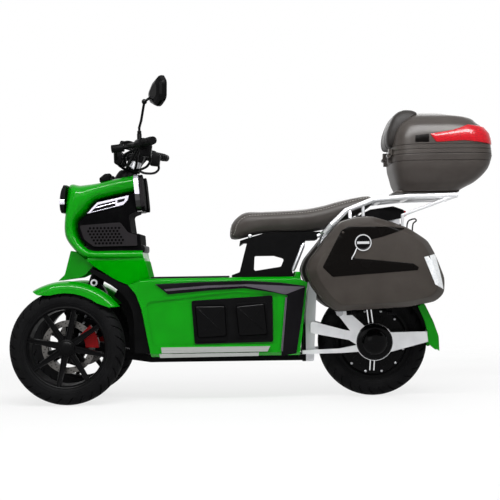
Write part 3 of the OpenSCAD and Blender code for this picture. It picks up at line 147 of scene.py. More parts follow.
# Lacquered ABS panels: a deep green under clear lacquer, with a faint orange peel in the gloss
greenLacquer = makeFinish("greenLacquer", "#008e02", mottled=("#008902", "#009303", 90), grained=(9, 0.02),
                          Roughness=0.5, IOR=1.03, Coat_Weight=0.65, Coat_IOR=1.28, Coat_Roughness=0.06)

# The same green unlacquered on the leg shield, so that its rear face stays green when it is seen edge on
satinGreen = makeFinish("satinGreen", "#008e02", mottled=("#008902", "#009303", 90), grained=(9, 0.02),
                        Roughness=0.6, IOR=1.03)

# Moulded ABS with a spark-eroded skin: dull black, the grit drawn coarser than life so that it shows
grainedBlack = makeFinish("grainedBlack", "#09090a", mottled=("#070708", "#0d0d0e", 40), grained=(1.6, 0.08),
                          Roughness=0.45, IOR=1.1)

# Polished ABS: black with sharp reflections, and slight haze where hands wipe it
pianoBlack = makeFinish("pianoBlack", "#040405", scuffed=(0.1, 0.2, 60), Roughness=0.12, IOR=1.16)

# Satin trim moulding, graphite grey with a soft sheen
graphiteTrim = makeFinish("graphiteTrim", "#0b0a0d", mottled=("#0c0b0e", "#121114", 120),
                          grained=(1.4, 0.03), Roughness=0.28, IOR=1.12)

# Powder-coated steel: satin black with the pebbled flow of baked powder
powderBlack = makeFinish("powderBlack", "#09090a", scuffed=(0.36, 0.5, 30), grained=(2.2, 0.05),
                         Roughness=0.42, IOR=1.1)

# Battery case: plain polypropylene, dull and slightly uneven
dullPolypropylene = makeFinish("dullPolypropylene", "#3a3c40", scuffed=(0.5, 0.7, 50), Roughness=0.6)

# Extruded aluminium, brushed along its length: bright with fine streaks, about 170 mm long and 1.1 mm apart
brushedAluminium, tree, shader, coords = startMaterial("brushedAluminium", "#9ea19e", Metallic=1.0,
                                                       Roughness=0.3)
streaks = addNode(tree, "Mapping", {"Vector": coords}, Scale=(6, 900, 900))
noise = addNode(tree, "TexNoise", {"Vector": streaks.outputs["Vector"]}, Scale=1.0, Detail=3)
band = addNode(tree, "MapRange", {"Value": noise.outputs["Fac"]}, To_Min=0.2, To_Max=0.42)
tree.links.new(band.outputs["Result"], shader.inputs["Roughness"])

# Silver stove enamel on tube and cast plate: pale metallic flake under lacquer
silverEnamel = makeFinish("silverEnamel", "#dfe0e2", mottled=("#d6d7da", "#e6e7e9", 70), grained=(1.2, 0.02),
                          Metallic=0.3, Roughness=0.3, Coat_Weight=0.5, Coat_Roughness=0.08)

# Silver-painted trim moulding, with a cool cast
silverTrim = makeFinish("silverTrim", "#c9c5d2", scuffed=(0.2, 0.32, 40), Metallic=0.6, Roughness=0.25,
                        Coat_Weight=0.4)

# Ribbed floor rubber, dull and dusty
matRubber = makeFinish("matRubber", "#121314", mottled=("#121314", "#1c1c1e", 35), grained=(1.8, 0.1),
                       Roughness=0.75, IOR=1.1)

# Tyre rubber: near black, matt, greyer where the sidewall has bloomed
tyreRubber = makeFinish("tyreRubber", "#101011", mottled=("#0d0d0e", "#141415", 55), grained=(2.4, 0.12),
                        Roughness=0.62, IOR=1.1)

# Cast wheel in satin black lacquer
wheelLacquer = makeFinish("wheelLacquer", "#070708", scuffed=(0.28, 0.42, 25), Roughness=0.3, IOR=1.14)

# Ground stainless brake disc: dark bright steel with a fine uneven tooth from the grinding
groundSteel = makeFinish("groundSteel", "#5c5a58", scuffed=(0.25, 0.42, 6), grained=(1.5, 0.03),
                         Metallic=1.0, Roughness=0.32)

# Anodised caliper, deep red
anodisedRed = makeFinish("anodisedRed", "#7a0408", scuffed=(0.3, 0.45, 15), Metallic=0.2, Roughness=0.4,
                         IOR=1.2)

# Vinyl leatherette: warm charcoal with pebble grain and a soft sheen
leatherette = makeFinish("leatherette", "#45413e", mottled=("#413c39", "#4a4643", 60),
                         grained=(3.2, 0.18, True), Roughness=0.5, IOR=1.22, Sheen_Weight=0.1)

# The backrest's vinyl: the seat's leatherette painted darker, as painted shade for the pad's lit top
padVinylPaintedShade = makeFinish("padVinylPaintedShade", "#282524", mottled=("#242120", "#2d2a28", 60), grained=(3.2, 0.18, True),
                       Roughness=0.5, IOR=1.2, Sheen_Weight=0.1)

# Lid of the top case: the ABS of the luggage below, a shade paler and more polished
lidShell = makeFinish("lidShell", "#433e3b", mottled=("#3f3a37", "#48433f", 80), grained=(1.8, 0.05),
                      Roughness=0.32, IOR=1.25)

# Luggage shell, injection-moulded ABS: brown-black with a fine leather grain
caseShell = makeFinish("caseShell", "#403b38", mottled=("#3c3734", "#45403d", 80), grained=(1.8, 0.05),
                       Roughness=0.42, IOR=1.25)

# Outer halves of the panniers: the same ABS, a shade darker
pannierShell = makeFinish("pannierShell", "#3a3531", mottled=("#36312d", "#3f3a36", 90), grained=(1.8, 0.05),
                          Roughness=0.42, IOR=1.22)

# Smooth face of the luggage lids: the same ABS, polished
caseGloss = makeFinish("caseGloss", "#080605", scuffed=(0.2, 0.3, 70), Roughness=0.16, IOR=1.13)

# Red lens, clear acrylic with prisms behind: bright red with a fine net of facets
redAcrylic = makeFinish("redAcrylic", "#c40016", grained=(5, 0.5, True), mottled=("#b20013", "#d0031b", 8),
                        Roughness=0.2, IOR=1.25, Coat_Weight=0.2)

# Pale reflector, acrylic with silvered prisms
paleAcrylic = makeFinish("paleAcrylic", "#e6e8ea", grained=(5, 0.4, True), mottled=("#d4d8dc", "#f2f3f4", 7),
                         Roughness=0.15, Coat_Weight=1.0)

# Lamp lens: clear polycarbonate over a pale bowl
lampLens = makeFinish("lampLens", "#c9d2da", mottled=("#b4bec8", "#dfe5ea", 22), Roughness=0.06,
                      Coat_Weight=1.0)

# Zinc-plated shock absorber parts
zincPlate = makeFinish("zincPlate", "#a7a8ab", scuffed=(0.28, 0.45, 12), Metallic=1.0, Roughness=0.35)

# Silvered mirror glass
mirrorSilver = makeFinish("mirrorSilver", "#c3c8cc", scuffed=(0.02, 0.06, 50), Metallic=1.0, Roughness=0.03)

# Chromed fasteners and rings
chromePlate = makeFinish("chromePlate", "#d9dadc", scuffed=(0.07, 0.16, 10), Metallic=1.0, Roughness=0.1)

# Three materials whose colour changes over one moulding: the grille's raised plate is paler than the panel
# behind it, the round bezel's silver is painted black over its rear lower part as painted shade, and the
# frame's tail is painted silver
grillePlate = makeFinish("grillePlate", "#09090a", mottled=("#070708", "#0d0d0e", 40), grained=(1.6, 0.08),
                         painted=("#2a282a", [("Y", 125.4, 1)]), Roughness=0.6, IOR=1.03)
# painted shade: the bezel's silver turns black past 258 mm along and below 887 mm up
bezelTrimShadedBelow = makeFinish("bezelTrimShadedBelow", "#c9c5d2", mottled=("#c2becb", "#d0ccd8", 60),
                       painted=("#060606", [("X", 258 + frontAxle[0], 1), ("Z", 887, -1)]), Metallic=0.6,
                       Roughness=0.25, Coat_Weight=0.4)
tailPaint = makeFinish("tailPaint", "#09090a", mottled=("#070708", "#0c0c0d", 50), grained=(2.2, 0.05),
                       painted=("#d2d2d6", [("X", 1006 + frontAxle[0], 1)]), Roughness=0.42, IOR=1.1)

finishes = (
    (tailPaint, "frame"), (greenLacquer, "floor_body cowl front_apron rear_blade fender_left fender_right"),
    (satinGreen, "leg_shield"), (dullPolypropylene, "battery_pack"), (graphiteTrim, "side_trims"),
    (grainedBlack, "battery_covers splash_shield tail_housing rear_mudguard bar_controls"),
    (brushedAluminium, "side_rails"), (matRubber, "floor_mat"), (grillePlate, "inner_panel"),
    (bezelTrimShadedBelow, "cowl_trims"), (pianoBlack, "headlamps motor_covers display mirror_arm"),
    (lampLens, "headlamp_lenses"), (zincPlate, "front_shocks rear_shocks"),
    (leatherette, "seat top_case_pad"),
    (powderBlack, "wishbones seat_frame handlebar tie_rod knuckle_left knuckle_right"),
    (redAcrylic, "tail_lamp top_case_reflector"), (silverEnamel, "rear_rack swingarm_left swingarm_right"),
    (caseShell, "top_case_tub top_case_lid pannier_tub_left pannier_tub_right"),
    (caseGloss, "pannier_lid_left pannier_lid_right"), (mirrorSilver, "mirror_glass"),
    (anodisedRed, "caliper_left caliper_right"), (groundSteel, "brake_disc_left brake_disc_right"),
    (tyreRubber, "front_tyre_left front_tyre_right rear_tyre"),
    (wheelLacquer, "front_rim_left front_rim_right rear_hub"))
for material, names in finishes:
    for name in names.split():
        nodes[name].data.materials.clear()
        nodes[name].data.materials.append(material)
print("finishes set:", len(finishes), "materials")


def at(u, y, z):  # along, across and up in mm, measured from the ground under the front axle
    u, y, z = np.broadcast_arrays(u, y, z)
    return np.stack([u + frontAxle[0], y, z], -1).astype(float)


def curve(stations, count):  # smooth curve through stations, each span a cubic of its four neighbours
    p = np.asarray(stations, float)
    p = np.vstack([p[:1], p, p[-1:]])
    t = np.linspace(0, len(p) - 3 - 1e-9, count)
    k = t.astype(int)
    f = (t - k)[:, None]
    a, b, c, d = p[k], p[k + 1], p[k + 2], p[k + 3]
    square, cube = 2 * a - 5 * b + 4 * c - d, 3 * b - a - 3 * c + d
    return 0.5 * (2 * b + (c - a) * f + square * f ** 2 + cube * f ** 3)


def distances(path):  # how far each point of a polyline lies along it
    return np.concatenate([[0], np.cumsum(np.linalg.norm(np.diff(path, axis=0), axis=1))])


def softOutline(corners, count, rounds):  # closed outline at even spacing, its corners eased by averaging
    p = np.vstack([corners, corners[:1]]).astype(float)
    length = distances(p)
    even = np.linspace(0, length[-1], count, endpoint=False)
    q = np.stack([np.interp(even, length, p[:, 0]), np.interp(even, length, p[:, 1])], -1)
    for _ in range(rounds):
        q = (np.roll(q, 1, 0) + 2 * q + np.roll(q, -1, 0)) / 4
    return np.vstack([q, q[:1]])


def smoothstep(low, high, value):
    t = np.clip((value - low) / (high - low), 0, 1)
    return t * t * (3 - 2 * t)


def squaredOval(power, turn):
    # squared-off unit oval: cosine and sine of a turn, each raised to 2 over the power
    return [np.sign(w) * np.abs(w) ** (2 / power) for w in (np.cos(turn), np.sin(turn))]


def capped(points):  # closes both ends of a skin with a pole at the middle of its first and last rows
    poles = (row[:-1].mean(0)[None, None] for row in (points[0], points[-1]))
    first, last = (np.repeat(pole, points.shape[1], 1) for pole in poles)
    return np.concatenate([first, points, last])


def tube(path, radius, sides=12, up=(0, 1, 0)):  # ring of a radius round each point of a path, square to it
    path = np.asarray(path, float)
    way = np.gradient(path, axis=0)
    side = np.cross(way, up)
    side /= np.linalg.norm(side, axis=1, keepdims=True)
    over = np.cross(side, way)
    over /= np.linalg.norm(over, axis=1, keepdims=True)
    turn = np.linspace(0, 2 * np.pi, sides + 1)[None, :, None]
    radius = np.broadcast_to(radius, len(path))[:, None, None]
    return capped(path[:, None] + radius * (np.cos(turn) * side[:, None] + np.sin(turn) * over[:, None]))


def revolve(profile, centre, count, side=1):  # profile of (radius, across) turned about an axle along Y
    r, across = (np.asarray(profile, float) * [1, side]).T
    turn = np.linspace(0, 2 * np.pi, count + 1)
    return np.stack([centre[0] + r[:, None] * np.cos(turn), centre[1] + across[:, None] + 0 * turn,
                     centre[2] + r[:, None] * np.sin(turn)], -1)


def plate(outline, across, edge):
    # flat outline (along, up) between two levels across, its edges rounded over
    middle = outline[:-1].mean(0)
    quarter = np.linspace(0, np.pi / 2, 4)
    low, high = min(across), max(across)
    levels = np.concatenate([low + edge * (1 - np.cos(quarter)), high - edge * (1 - np.cos(quarter[::-1]))])
    inset = np.concatenate([edge * (1 - np.sin(quarter)), edge * (1 - np.sin(quarter[::-1]))])
    spoke = outline - middle
    share = 1 - inset[:, None, None] / np.linalg.norm(spoke, axis=1)[None, :, None]
    flat = middle + spoke[None] * share
    return capped(at(flat[..., 0], levels[:, None], flat[..., 1]))


def sidePlate(corners, count, rounds, across, edge, side):
    # plate of an eased outline on one side of the part
    return plate(softOutline(corners, count, rounds), [side * y for y in across], edge)


def box(low, high):  # six-sided block between two corners (along, across, up)
    u = np.array([low[0], high[0], high[0], low[0], low[0]])
    z = np.array([low[2], low[2], high[2], high[2], low[2]])
    return capped(at(u[None], np.array([[low[1]], [high[1]]]), z[None]))


def skinPiece(name, body, material, skins, replaced=None, sharpDeg=35):
    # joins grids of points (rows, columns, xyz in mm) into one mesh; equal corners merge and seams close
    corners, quads, start = [], [], 0
    for points in skins:
        rows, cols = points.shape[:2]
        merged, number = np.unique(np.round(points.reshape(-1, 3), 4), axis=0, return_inverse=True)
        index = number.reshape(rows, cols)
        faces = np.stack([index[:-1, :-1], index[1:, :-1], index[1:, 1:], index[:-1, 1:]], -1).reshape(-1, 4)
        a, b, c, d = (merged[faces[:, k]] - merged.mean(0) for k in range(4))
        volume = np.sum(a * np.cross(b, c)) + np.sum(a * np.cross(c, d))
        quads.append((faces if volume > 0 else faces[:, ::-1]) + start)
        corners.append(merged)
        start += len(merged)
    corners, quads = np.vstack(corners), np.vstack(quads)
    # a quad with one corner twice is a triangle, and with two corners twice it is nothing
    repeat = quads == np.roll(quads, -1, 1)
    whole = quads[repeat.sum(1) == 0]
    thin = quads[repeat.sum(1) == 1]
    triangles = thin[~repeat[repeat.sum(1) == 1]].reshape(-1, 3)
    mesh = bpy.data.meshes.new(name)
    mesh.from_pydata((corners * mm).tolist(), [], whole.tolist() + triangles.tolist())
    mesh.polygons.foreach_set("use_smooth", np.ones(len(mesh.polygons), bool))
    mesh.set_sharp_from_angle(angle=math.radians(sharpDeg))
    mesh.materials.append(material)
    piece = bpy.data.objects.new(name, mesh)
    scene.collection.objects.link(piece)
    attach(piece, body)
    if replaced:
        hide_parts(replaced)
    return piece


# CAD pieces that stay: their split corners are welded and their sharp edges get a narrow rounded edge
edgeLook = {"weld": 0.01, "width": 1.4, "segments": 2, "angleDeg": 32}
for node in nodes.values():
    weld = node.modifiers.new("weld", "WELD")
    weld.merge_threshold = edgeLook["weld"] * mm
    bevel = node.modifiers.new("edges", "BEVEL")
    bevel.width = edgeLook["width"] * mm
    bevel.segments = edgeLook["segments"]
    bevel.limit_method = "ANGLE"
    bevel.angle_limit = math.radians(edgeLook["angleDeg"])
    bevel.use_clamp_overlap = True

# Tyres: a section of (radius, across) swept round the axle; the cross cuts follow slanted lines, so each
# cut's walls lie on grid lines. Angle = cell number plus slant times distance from the crown; radius falls
# by the cut's depth there
tyreLook = {
    "pitches": 30, "cutDeep": 5.0, "slantDeg": 9.0, "slantPer": 60, "slantMost": 1.4, "cutFrom": (10, 12),
    "cutTo": (70, 80), "ringCut": (7.0, 10.0), "ringShare": 0.7, "beadDeg": 132, "beadTuck": 4,
    "widest": 0.43, "crown": 0.86, "ribTall": 1.2, "ribs": ((99.5, 103.5), (110.5, 113.5)),
    "section": [0, 3, 6.4, 7, 10, 10.6, 12, 14, 20, 27, 34, 41, 48, 55, 61, 67, 72, 76, 80, 84, 88, 92, 96,
        99, 100, 103, 104, 107, 110, 111, 113, 114, 118, 122, 127, 132],
    "cell": [0, 0.03, 0.15, 0.18, 0.36, 0.54, 0.72, 0.88], "cellCut": [0, 1, 1, 0, 0, 0, 0, 0]}


def tyrePoints(tyre, axle, rimRadius, side):
    look, phi = tyreLook, np.array(tyreLook["section"], float)
    phi = np.concatenate([-phi[:0:-1], phi])
    rad, away = np.radians(phi), np.abs(phi)
    widest = tyre["radius"] - look["widest"] * tyre["width"]
    bead = (widest - rimRadius + look["beadTuck"]) / abs(math.cos(math.radians(look["beadDeg"])))
    down = np.where(away <= 90, tyre["radius"] - widest, bead)
    power = np.where(away <= 90, look["crown"], 1)
    radius = widest + down * np.sign(np.cos(rad)) * np.abs(np.cos(rad)) ** power
    across = tyre["width"] / 2 * np.sign(np.sin(rad)) * np.abs(np.sin(rad)) ** look["crown"]
    turn = np.concatenate([(np.arange(look["pitches"])[:, None] + look["cell"]).ravel(), [look["pitches"]]])
    cut = np.concatenate([np.tile(look["cellCut"], look["pitches"]), [0]])
    lateral = smoothstep(*look["cutFrom"], away) * (1 - smoothstep(*look["cutTo"], away))
    ring = ((away >= look["ringCut"][0]) & (away <= look["ringCut"][1])) * look["ringShare"]
    deep = look["cutDeep"] * np.maximum(ring[:, None], lateral[:, None] * cut[None])
    rib = look["ribTall"] * sum((away > low) & (away < high) for low, high in look["ribs"])
    slant = math.radians(look["slantDeg"]) * np.minimum(away / look["slantPer"], look["slantMost"])
    angle = 2 * np.pi * turn[None] / look["pitches"] + slant[:, None]
    r = radius[:, None] - deep * np.cos(rad)[:, None]
    y = across[:, None] + np.sign(across[:, None]) * (rib[:, None] - deep * np.abs(np.sin(rad))[:, None])
    shell = np.stack([axle[0] - side * r * np.cos(angle), tyre["y"] + y, axle[2] + r * np.sin(angle)], -1)
    return np.concatenate([shell, shell[:1]])


rimRadius = {"front": 171, "rear": 165}
for name, side in leftFirst:
    sideTyre = dict(frontTyre, y=side * abs(frontTyre["y"]))
    skinPiece(f"frontTread_{name}", f"wheel_front_{name}", tyreRubber,
              [tyrePoints(sideTyre, frontAxle, rimRadius["front"], side)], f"front_tyre_{name}")
skinPiece("rearTread", "wheel_rear", tyreRubber,
          [tyrePoints(rearTyre, rearAxle, rimRadius["rear"], 1)], "rear_tyre")
print("tyres made")

# Front rims: a barrel turned about the axle, eight spokes that are channel sections drawn from the hub to
# the barrel, and a stepped hub. Spoke width and depth change linearly along its length
rimLook = {
    "spokes": 8, "startDeg": 12, "hubR": 33, "tuck": 6, "reach": 168, "thick": 20, "dip": 5,
    "faces": (30, 42.5), "halves": (15, 11, 8.5), "halvesAt": (0, 0.45, 1),
    "wide": [-1, -1, -0.93, -0.62, -0.5, 0.5, 0.62, 0.93, 1, 1, -1],
    "lift": [0, 0.9, 1, 1, 0.72, 0.72, 1, 1, 0.9, 0, 0],
    "barrel": [[155, -42], [164, -42], [167, -39], [167, -37], [161, -35.5], [161, 35.5], [168, 37],
        [172, 39.5], [171.5, 42.5], [168, 43.5], [165, 42], [163, 38], [159, 34], [158.5, 30], [157, 0],
        [156, -30], [155, -42]],
    "hub": [[0, 41.5], [12, 41.2], [22, 39.5], [26, 36.5], [27, 34], [30, 34], [33, 32.5], [34, 28],
        [34, -34], [0, -34]]}
share = np.linspace(0, 1, 12)
half = np.interp(share, rimLook["halvesAt"], rimLook["halves"])
face = np.interp(share, [0, 1], rimLook["faces"]) - rimLook["dip"] * np.sin(np.pi * share)
level = face[:, None] - rimLook["thick"] * (1 - np.array(rimLook["lift"])[None])
reach = rimLook["hubR"] - rimLook["tuck"] + share * (rimLook["reach"] + rimLook["tuck"] - rimLook["hubR"])
for name, side in leftFirst:
    centre = np.array([frontAxle[0], side * abs(frontTyre["y"]), frontAxle[2]])
    skins = [revolve(rimLook["barrel"], centre, 128, side)]
    for k in range(rimLook["spokes"]):
        heading = math.radians(360 * k / rimLook["spokes"] + rimLook["startDeg"])
        outward = np.array([math.cos(heading), 0, -math.sin(heading)])
        sideways = np.array([math.sin(heading), 0, math.cos(heading)])
        wide = (half[:, None] * rimLook["wide"])[..., None] * sideways
        lift = (side * level)[..., None] * acrossWay
        skins.append(capped(centre + reach[:, None, None] * outward + wide + lift))
    skins.append(revolve(rimLook["hub"], centre, 64, side))
    skinPiece(f"castRim_{name}", f"wheel_front_{name}", wheelLacquer, skins,
              f"front_rim_{name}", 30)
print("front rims made")

# Cowl: squared-off ovals strung along a C-shaped row of stations. Each station gives the outer edge, the
# inner edge and the half width; the oval runs from the inner edge to the outer edge, and the barrel round
# the lamps is drawn in a little
cowlLook = {
    "rings": 160, "points": 88, "power": 2.9, "rake": 19, "face": ([700, 804, 936], [-34.5, -25, -13]),
    "faceEnds": (700, 945), "barrelDip": 0.055, "barrelIn": (0.5, 1), "barrelZ": (800, 850),
    "barrelU": (60, 120),
    "stations": [[272, 974, 279, 899, 132], [190, 960, 196, 882, 138], [119, 943, 116, 863, 142],
        [40, 934, 86, 836, 142], [-14, 930, 66, 808, 140], [-29, 806, 29, 772, 134], [-33, 734, 28, 730, 130],
        [-20, 690, 45, 690, 132], [22, 640, 76, 660, 136], [80, 610, 102, 651, 140],
        [180, 604, 180, 651, 140], [316, 604, 308, 651, 134]]}
rake = math.radians(cowlLook["rake"])
steerWay = np.array([math.sin(rake), 0, math.cos(rake)])
steerSide = np.array([math.cos(rake), 0, -math.sin(rake)])


def aboutColumn(radius, height, turn):
    # rings about the steering column, at heights along it and turns round it
    ring = np.cos(turn)[:, None] * steerSide + np.sin(turn)[:, None] * acrossWay
    return frontAxle + height[:, None, None] * steerWay + radius[..., None] * ring[None]


def onSteerAxis(profile):  # profile of (radius, height along the column) turned about the column
    r, height = np.asarray(profile, float).T
    return aboutColumn(r[:, None], height, np.linspace(0, 2 * np.pi, 49))


row = curve(cowlLook["stations"], cowlLook["rings"])[:, :, None]
inOut, across = squaredOval(cowlLook["power"], np.linspace(0, 2 * np.pi, cowlLook["points"] + 1))
k = (inOut + 1)[None] / 2
u = row[:, 2] + (row[:, 0] - row[:, 2]) * k
z = row[:, 3] + (row[:, 1] - row[:, 3]) * k
faced = (z > cowlLook["faceEnds"][0]) & (z < cowlLook["faceEnds"][1])
u = np.where(faced, np.maximum(u, np.interp(z, *cowlLook["face"])), u)
barrel = cowlLook["barrelDip"] * smoothstep(*cowlLook["barrelIn"], k) * smoothstep(*cowlLook["barrelZ"], z)
barrel = barrel * (1 - smoothstep(*cowlLook["barrelU"], u))
cowlSkin = capped(at(u, row[:, 4] * across[None] * (1 - barrel), z))
skinPiece("cowlShell", "chassis", greenLacquer, [cowlSkin], "cowl", 50)

# Boot round the steering column, in three falling steps
bootLook = {
    "foot": 742,
    "profile": [[27, -12], [44, -12], [48, 0], [47, 6], [40, 9], [41, 14], [36, 17], [37, 22], [32, 25],
        [32, 33], [27.5, 33], [27, -12]]}
boot = np.array(bootLook["profile"]) + [0, bootLook["foot"]]
skinPiece("columnBoot", "chassis", grainedBlack, [onSteerAxis(boot)])
print("cowl made")

# Seat: squared-off ovals along a row of stations (along, bottom, top, half width), narrower at the foot. Two
# seams are bell-shaped dents at an angle that is tabled along the seat, and a third crosses its nose
seatLook = {
    "rings": 150, "points": 120, "power": 3.0, "footIn": 0.13, "crown": 4, "seamDeep": 2.4, "seamWide": 0.05,
    "seam": ([0, 0.1, 0.2, 0.3, 1], [2.3, 2.1, 1.1, 0.86, 0.8]), "nose": (0.11, 0.006, 1.6), "stitch": 7,
    "gap": 5, "thread": 0.9, "threadLift": 0.2, "beside": 0.09, "line": (0.125, 0.985),
    "noseLine": (0.085, 2.1),
    "stations": [[684, 700, 722, 46], [692, 691, 752, 72], [716, 690, 781, 92], [756, 699, 803, 106],
        [828, 715, 804, 118], [920, 717, 807, 126], [1010, 717, 813, 124], [1090, 727, 827, 108],
        [1150, 749, 843, 102], [1224, 781, 859, 98], [1284, 815, 867, 92], [1304, 833, 858, 80]]}
seatRow = curve(seatLook["stations"], 400)


def seatPoint(share, angle, lift):
    # point of the seat's skin: share of its length, angle from the top, lift off it
    st = [np.interp(share, np.linspace(0, 1, len(seatRow)), seatRow[:, n]) for n in range(4)]
    up, side = squaredOval(seatLook["power"], angle)
    tall, wide = (st[2] - st[1]) / 2 + lift, st[3] + lift
    inward = 1 - seatLook["footIn"] * smoothstep(0.3, -1, up)
    crown = seatLook["crown"] * np.cos(angle) * (up > 0) * np.abs(np.cos(angle))
    return at(st[0], wide * side * inward, (st[1] + st[2]) / 2 + tall * up + crown)


share = np.linspace(0, 1, seatLook["rings"])[:, None]
angle = np.linspace(-np.pi, np.pi, seatLook["points"] + 1)[None]
dent = np.exp(-((np.abs(angle) - np.interp(share, *seatLook["seam"])) / seatLook["seamWide"]) ** 2)
noseAt, noseWide, noseDeep = seatLook["nose"]
nose = noseDeep * np.exp(-((share - noseAt) / noseWide) ** 2)
seatSkin = skinPiece("seatCover", "chassis", leatherette,
                     [capped(seatPoint(share, angle, -(seatLook["seamDeep"] * dent) - nose))], "seat", 60)


def stitches(share, angle):  # short threads laid end to end along a line on the seat
    path = seatPoint(share, angle, seatLook["threadLift"])
    step, long, radius = distances(path), seatLook["stitch"], seatLook["thread"]
    threads = []
    for start in np.arange(0, step[-1] - long, long + seatLook["gap"]):
        ends = start + np.linspace(0, long, 4)
        thread = np.stack([np.interp(ends, step, path[:, n]) for n in range(3)], -1)
        threads.append(tube(thread, [radius * 0.5, radius, radius, radius * 0.5], 6, (0.2, 0.3, 1)))
    return threads


line = np.linspace(*seatLook["line"], 300)
skins = []
for side in (-1, 1):
    skins += stitches(line, side * (np.interp(line, *seatLook["seam"]) + seatLook["beside"]))
noseAt, noseTurn = seatLook["noseLine"]
around = np.linspace(-noseTurn, noseTurn, 200)
skins += stitches(noseAt + 0 * around, around)
# Sewing thread, pale grey
paleThread = makeFinish("paleThread", "#b9b6b0", mottled=("#a8a59f", "#c8c5bf", 3), Roughness=0.8)
skinPiece("seatStitches", "chassis", paleThread, skins, None, 60)
print("seat made")

# Top case: squared-off ovals in plan, one above another; each step gives how far it stands in at the front,
# the rear and the sides, and its share of the height. The wall is drawn twice, outside and inside, so the
# case is hollow
caseLook = {
    "points": 112, "power": 4.2, "wall": 5, "front": 1385, "rear": 1820, "half": 200, "foot": 876.3,
    "split": 1038.3, "lidTall": 190, "hinge": (1375, 1038.3), "lugs": (70, 110), "lugWide": 14,
    "lugGap": 0.5, "lugR": 9, "lugEdge": 1, "strap": (-2, 13, 27), "tubStrap": -30, "lidStrap": 3,
    "mount": (1395, 1679, 112), "mountZ": (876.5, 888), "mountIn": 4, "lineAt": (-2.2, -1.4, 1.4, 2.2),
    "lineDeep": 2.2, "tubLines": (1008,), "lidLines": (1057, 1077),
    "tub": [[33, 144, 52, 0.05], [26, 114, 40, 0.154], [18, 76, 26, 0.275], [11, 40, 14, 0.459],
        [3, 14, 4, 0.666], [0, 0, 0, 0.93], [0, 0, 0, 0.994]],
    "lid": [[0, 0, 0, 0.006], [1, 1, 1, 0.109], [5, 8, 4, 0.37], [13, 20, 10, 0.543], [27, 58, 22, 0.696],
        [55, 89, 50, 0.837], [77, 160, 80, 0.913], [101, 217, 120, 0.978], [125, 250, 150, 1]]}
ovalU, ovalY = squaredOval(caseLook["power"], np.linspace(0, 2 * np.pi, caseLook["points"] + 1))


def caseRows(steps, foot, tall):  # front, rear, half width and height of each step
    front, rear, half, share = np.asarray(steps, float).T
    return np.stack([caseLook["front"] + front, caseLook["rear"] - rear, caseLook["half"] - half,
                     foot + tall * share], -1)


def caseRings(rows, inset):  # oval of each row, drawn in by an inset
    front, rear, half, height = np.asarray(rows, float).T[:, :, None]
    inset = np.broadcast_to(inset, len(rows))[:, None]
    return at((front + rear) / 2 + ((rear - front) / 2 - inset) * ovalU, (half - inset) * ovalY, height)


def withLines(rows, lines):  # adds narrow grooves round the case at given heights
    extra = np.array([[h + d for d in caseLook["lineAt"]] for h in lines]).ravel()
    more = np.stack([np.interp(extra, rows[:, 3], rows[:, n]) for n in range(4)], -1)
    deep = np.tile([0, caseLook["lineDeep"], caseLook["lineDeep"], 0], len(lines))
    both = np.vstack([np.column_stack([rows, np.zeros(len(rows))]), np.column_stack([more, deep])])
    both = both[np.argsort(both[:, 3], kind="stable")]
    return both[:, :4], both[:, 4]


def wholeCase(rows, lines, fold):  # both walls of the tub (fold 1) or the lid (fold -1), with its hinge lugs
    outer, groove = withLines(rows, lines)
    inner = rows.copy()
    away = np.abs(inner[:, 3] - caseLook["split"])
    inner[:, 3] += fold * caseLook["wall"] * away / away.max()
    if fold < 0:
        outer, groove, inner = outer[::-1], groove[::-1], inner[::-1]
    skins = [capped(np.concatenate([caseRings(outer, groove), caseRings(inner[::-1], caseLook["wall"])]))]
    (hingeU, hingeZ), (first, last), wide = caseLook["hinge"], caseLook["lugs"], caseLook["lugWide"]
    y0, y1 = (first, first + wide) if fold > 0 else (first + wide + caseLook["lugGap"], last)
    r, edge = caseLook["lugR"], caseLook["lugEdge"]
    lug = [[0, y0], [r - edge, y0], [r, y0 + edge], [r, y1 - edge], [r - edge, y1], [0, y1]]
    front, rear, tall = caseLook["strap"]
    foot = hingeZ + (caseLook["tubStrap"] if fold > 0 else caseLook["lidStrap"])
    for side in (-1, 1):
        low, high = sorted((side * y0, side * y1))
        skins.append(revolve(lug, (hingeU + frontAxle[0], 0, hingeZ), 32, side))
        skins.append(box((hingeU + front, low, foot), (hingeU + rear, high, foot + tall)))
    return skins


tubRows = curve(caseRows(caseLook["tub"], caseLook["foot"], caseLook["split"] - caseLook["foot"]), 40)
lidRows = curve(caseRows(caseLook["lid"], caseLook["split"], caseLook["lidTall"]), 48)
(u0, u1, wide), (z0, z1), slack = caseLook["mount"], caseLook["mountZ"], caseLook["mountIn"]
mount = plate(softOutline([[u0 + slack, z0], [u1 - slack, z0], [u1, z1], [u0, z1]], 80, 3), (-wide, wide), 2)
skinPiece("caseTub", "chassis", caseShell,
          wholeCase(tubRows, caseLook["tubLines"], 1) + [mount], "top_case_tub", 42)
skinPiece("caseLid", "top_case_lid", lidShell,
          wholeCase(lidRows, caseLook["lidLines"], -1), "top_case_lid", 42)

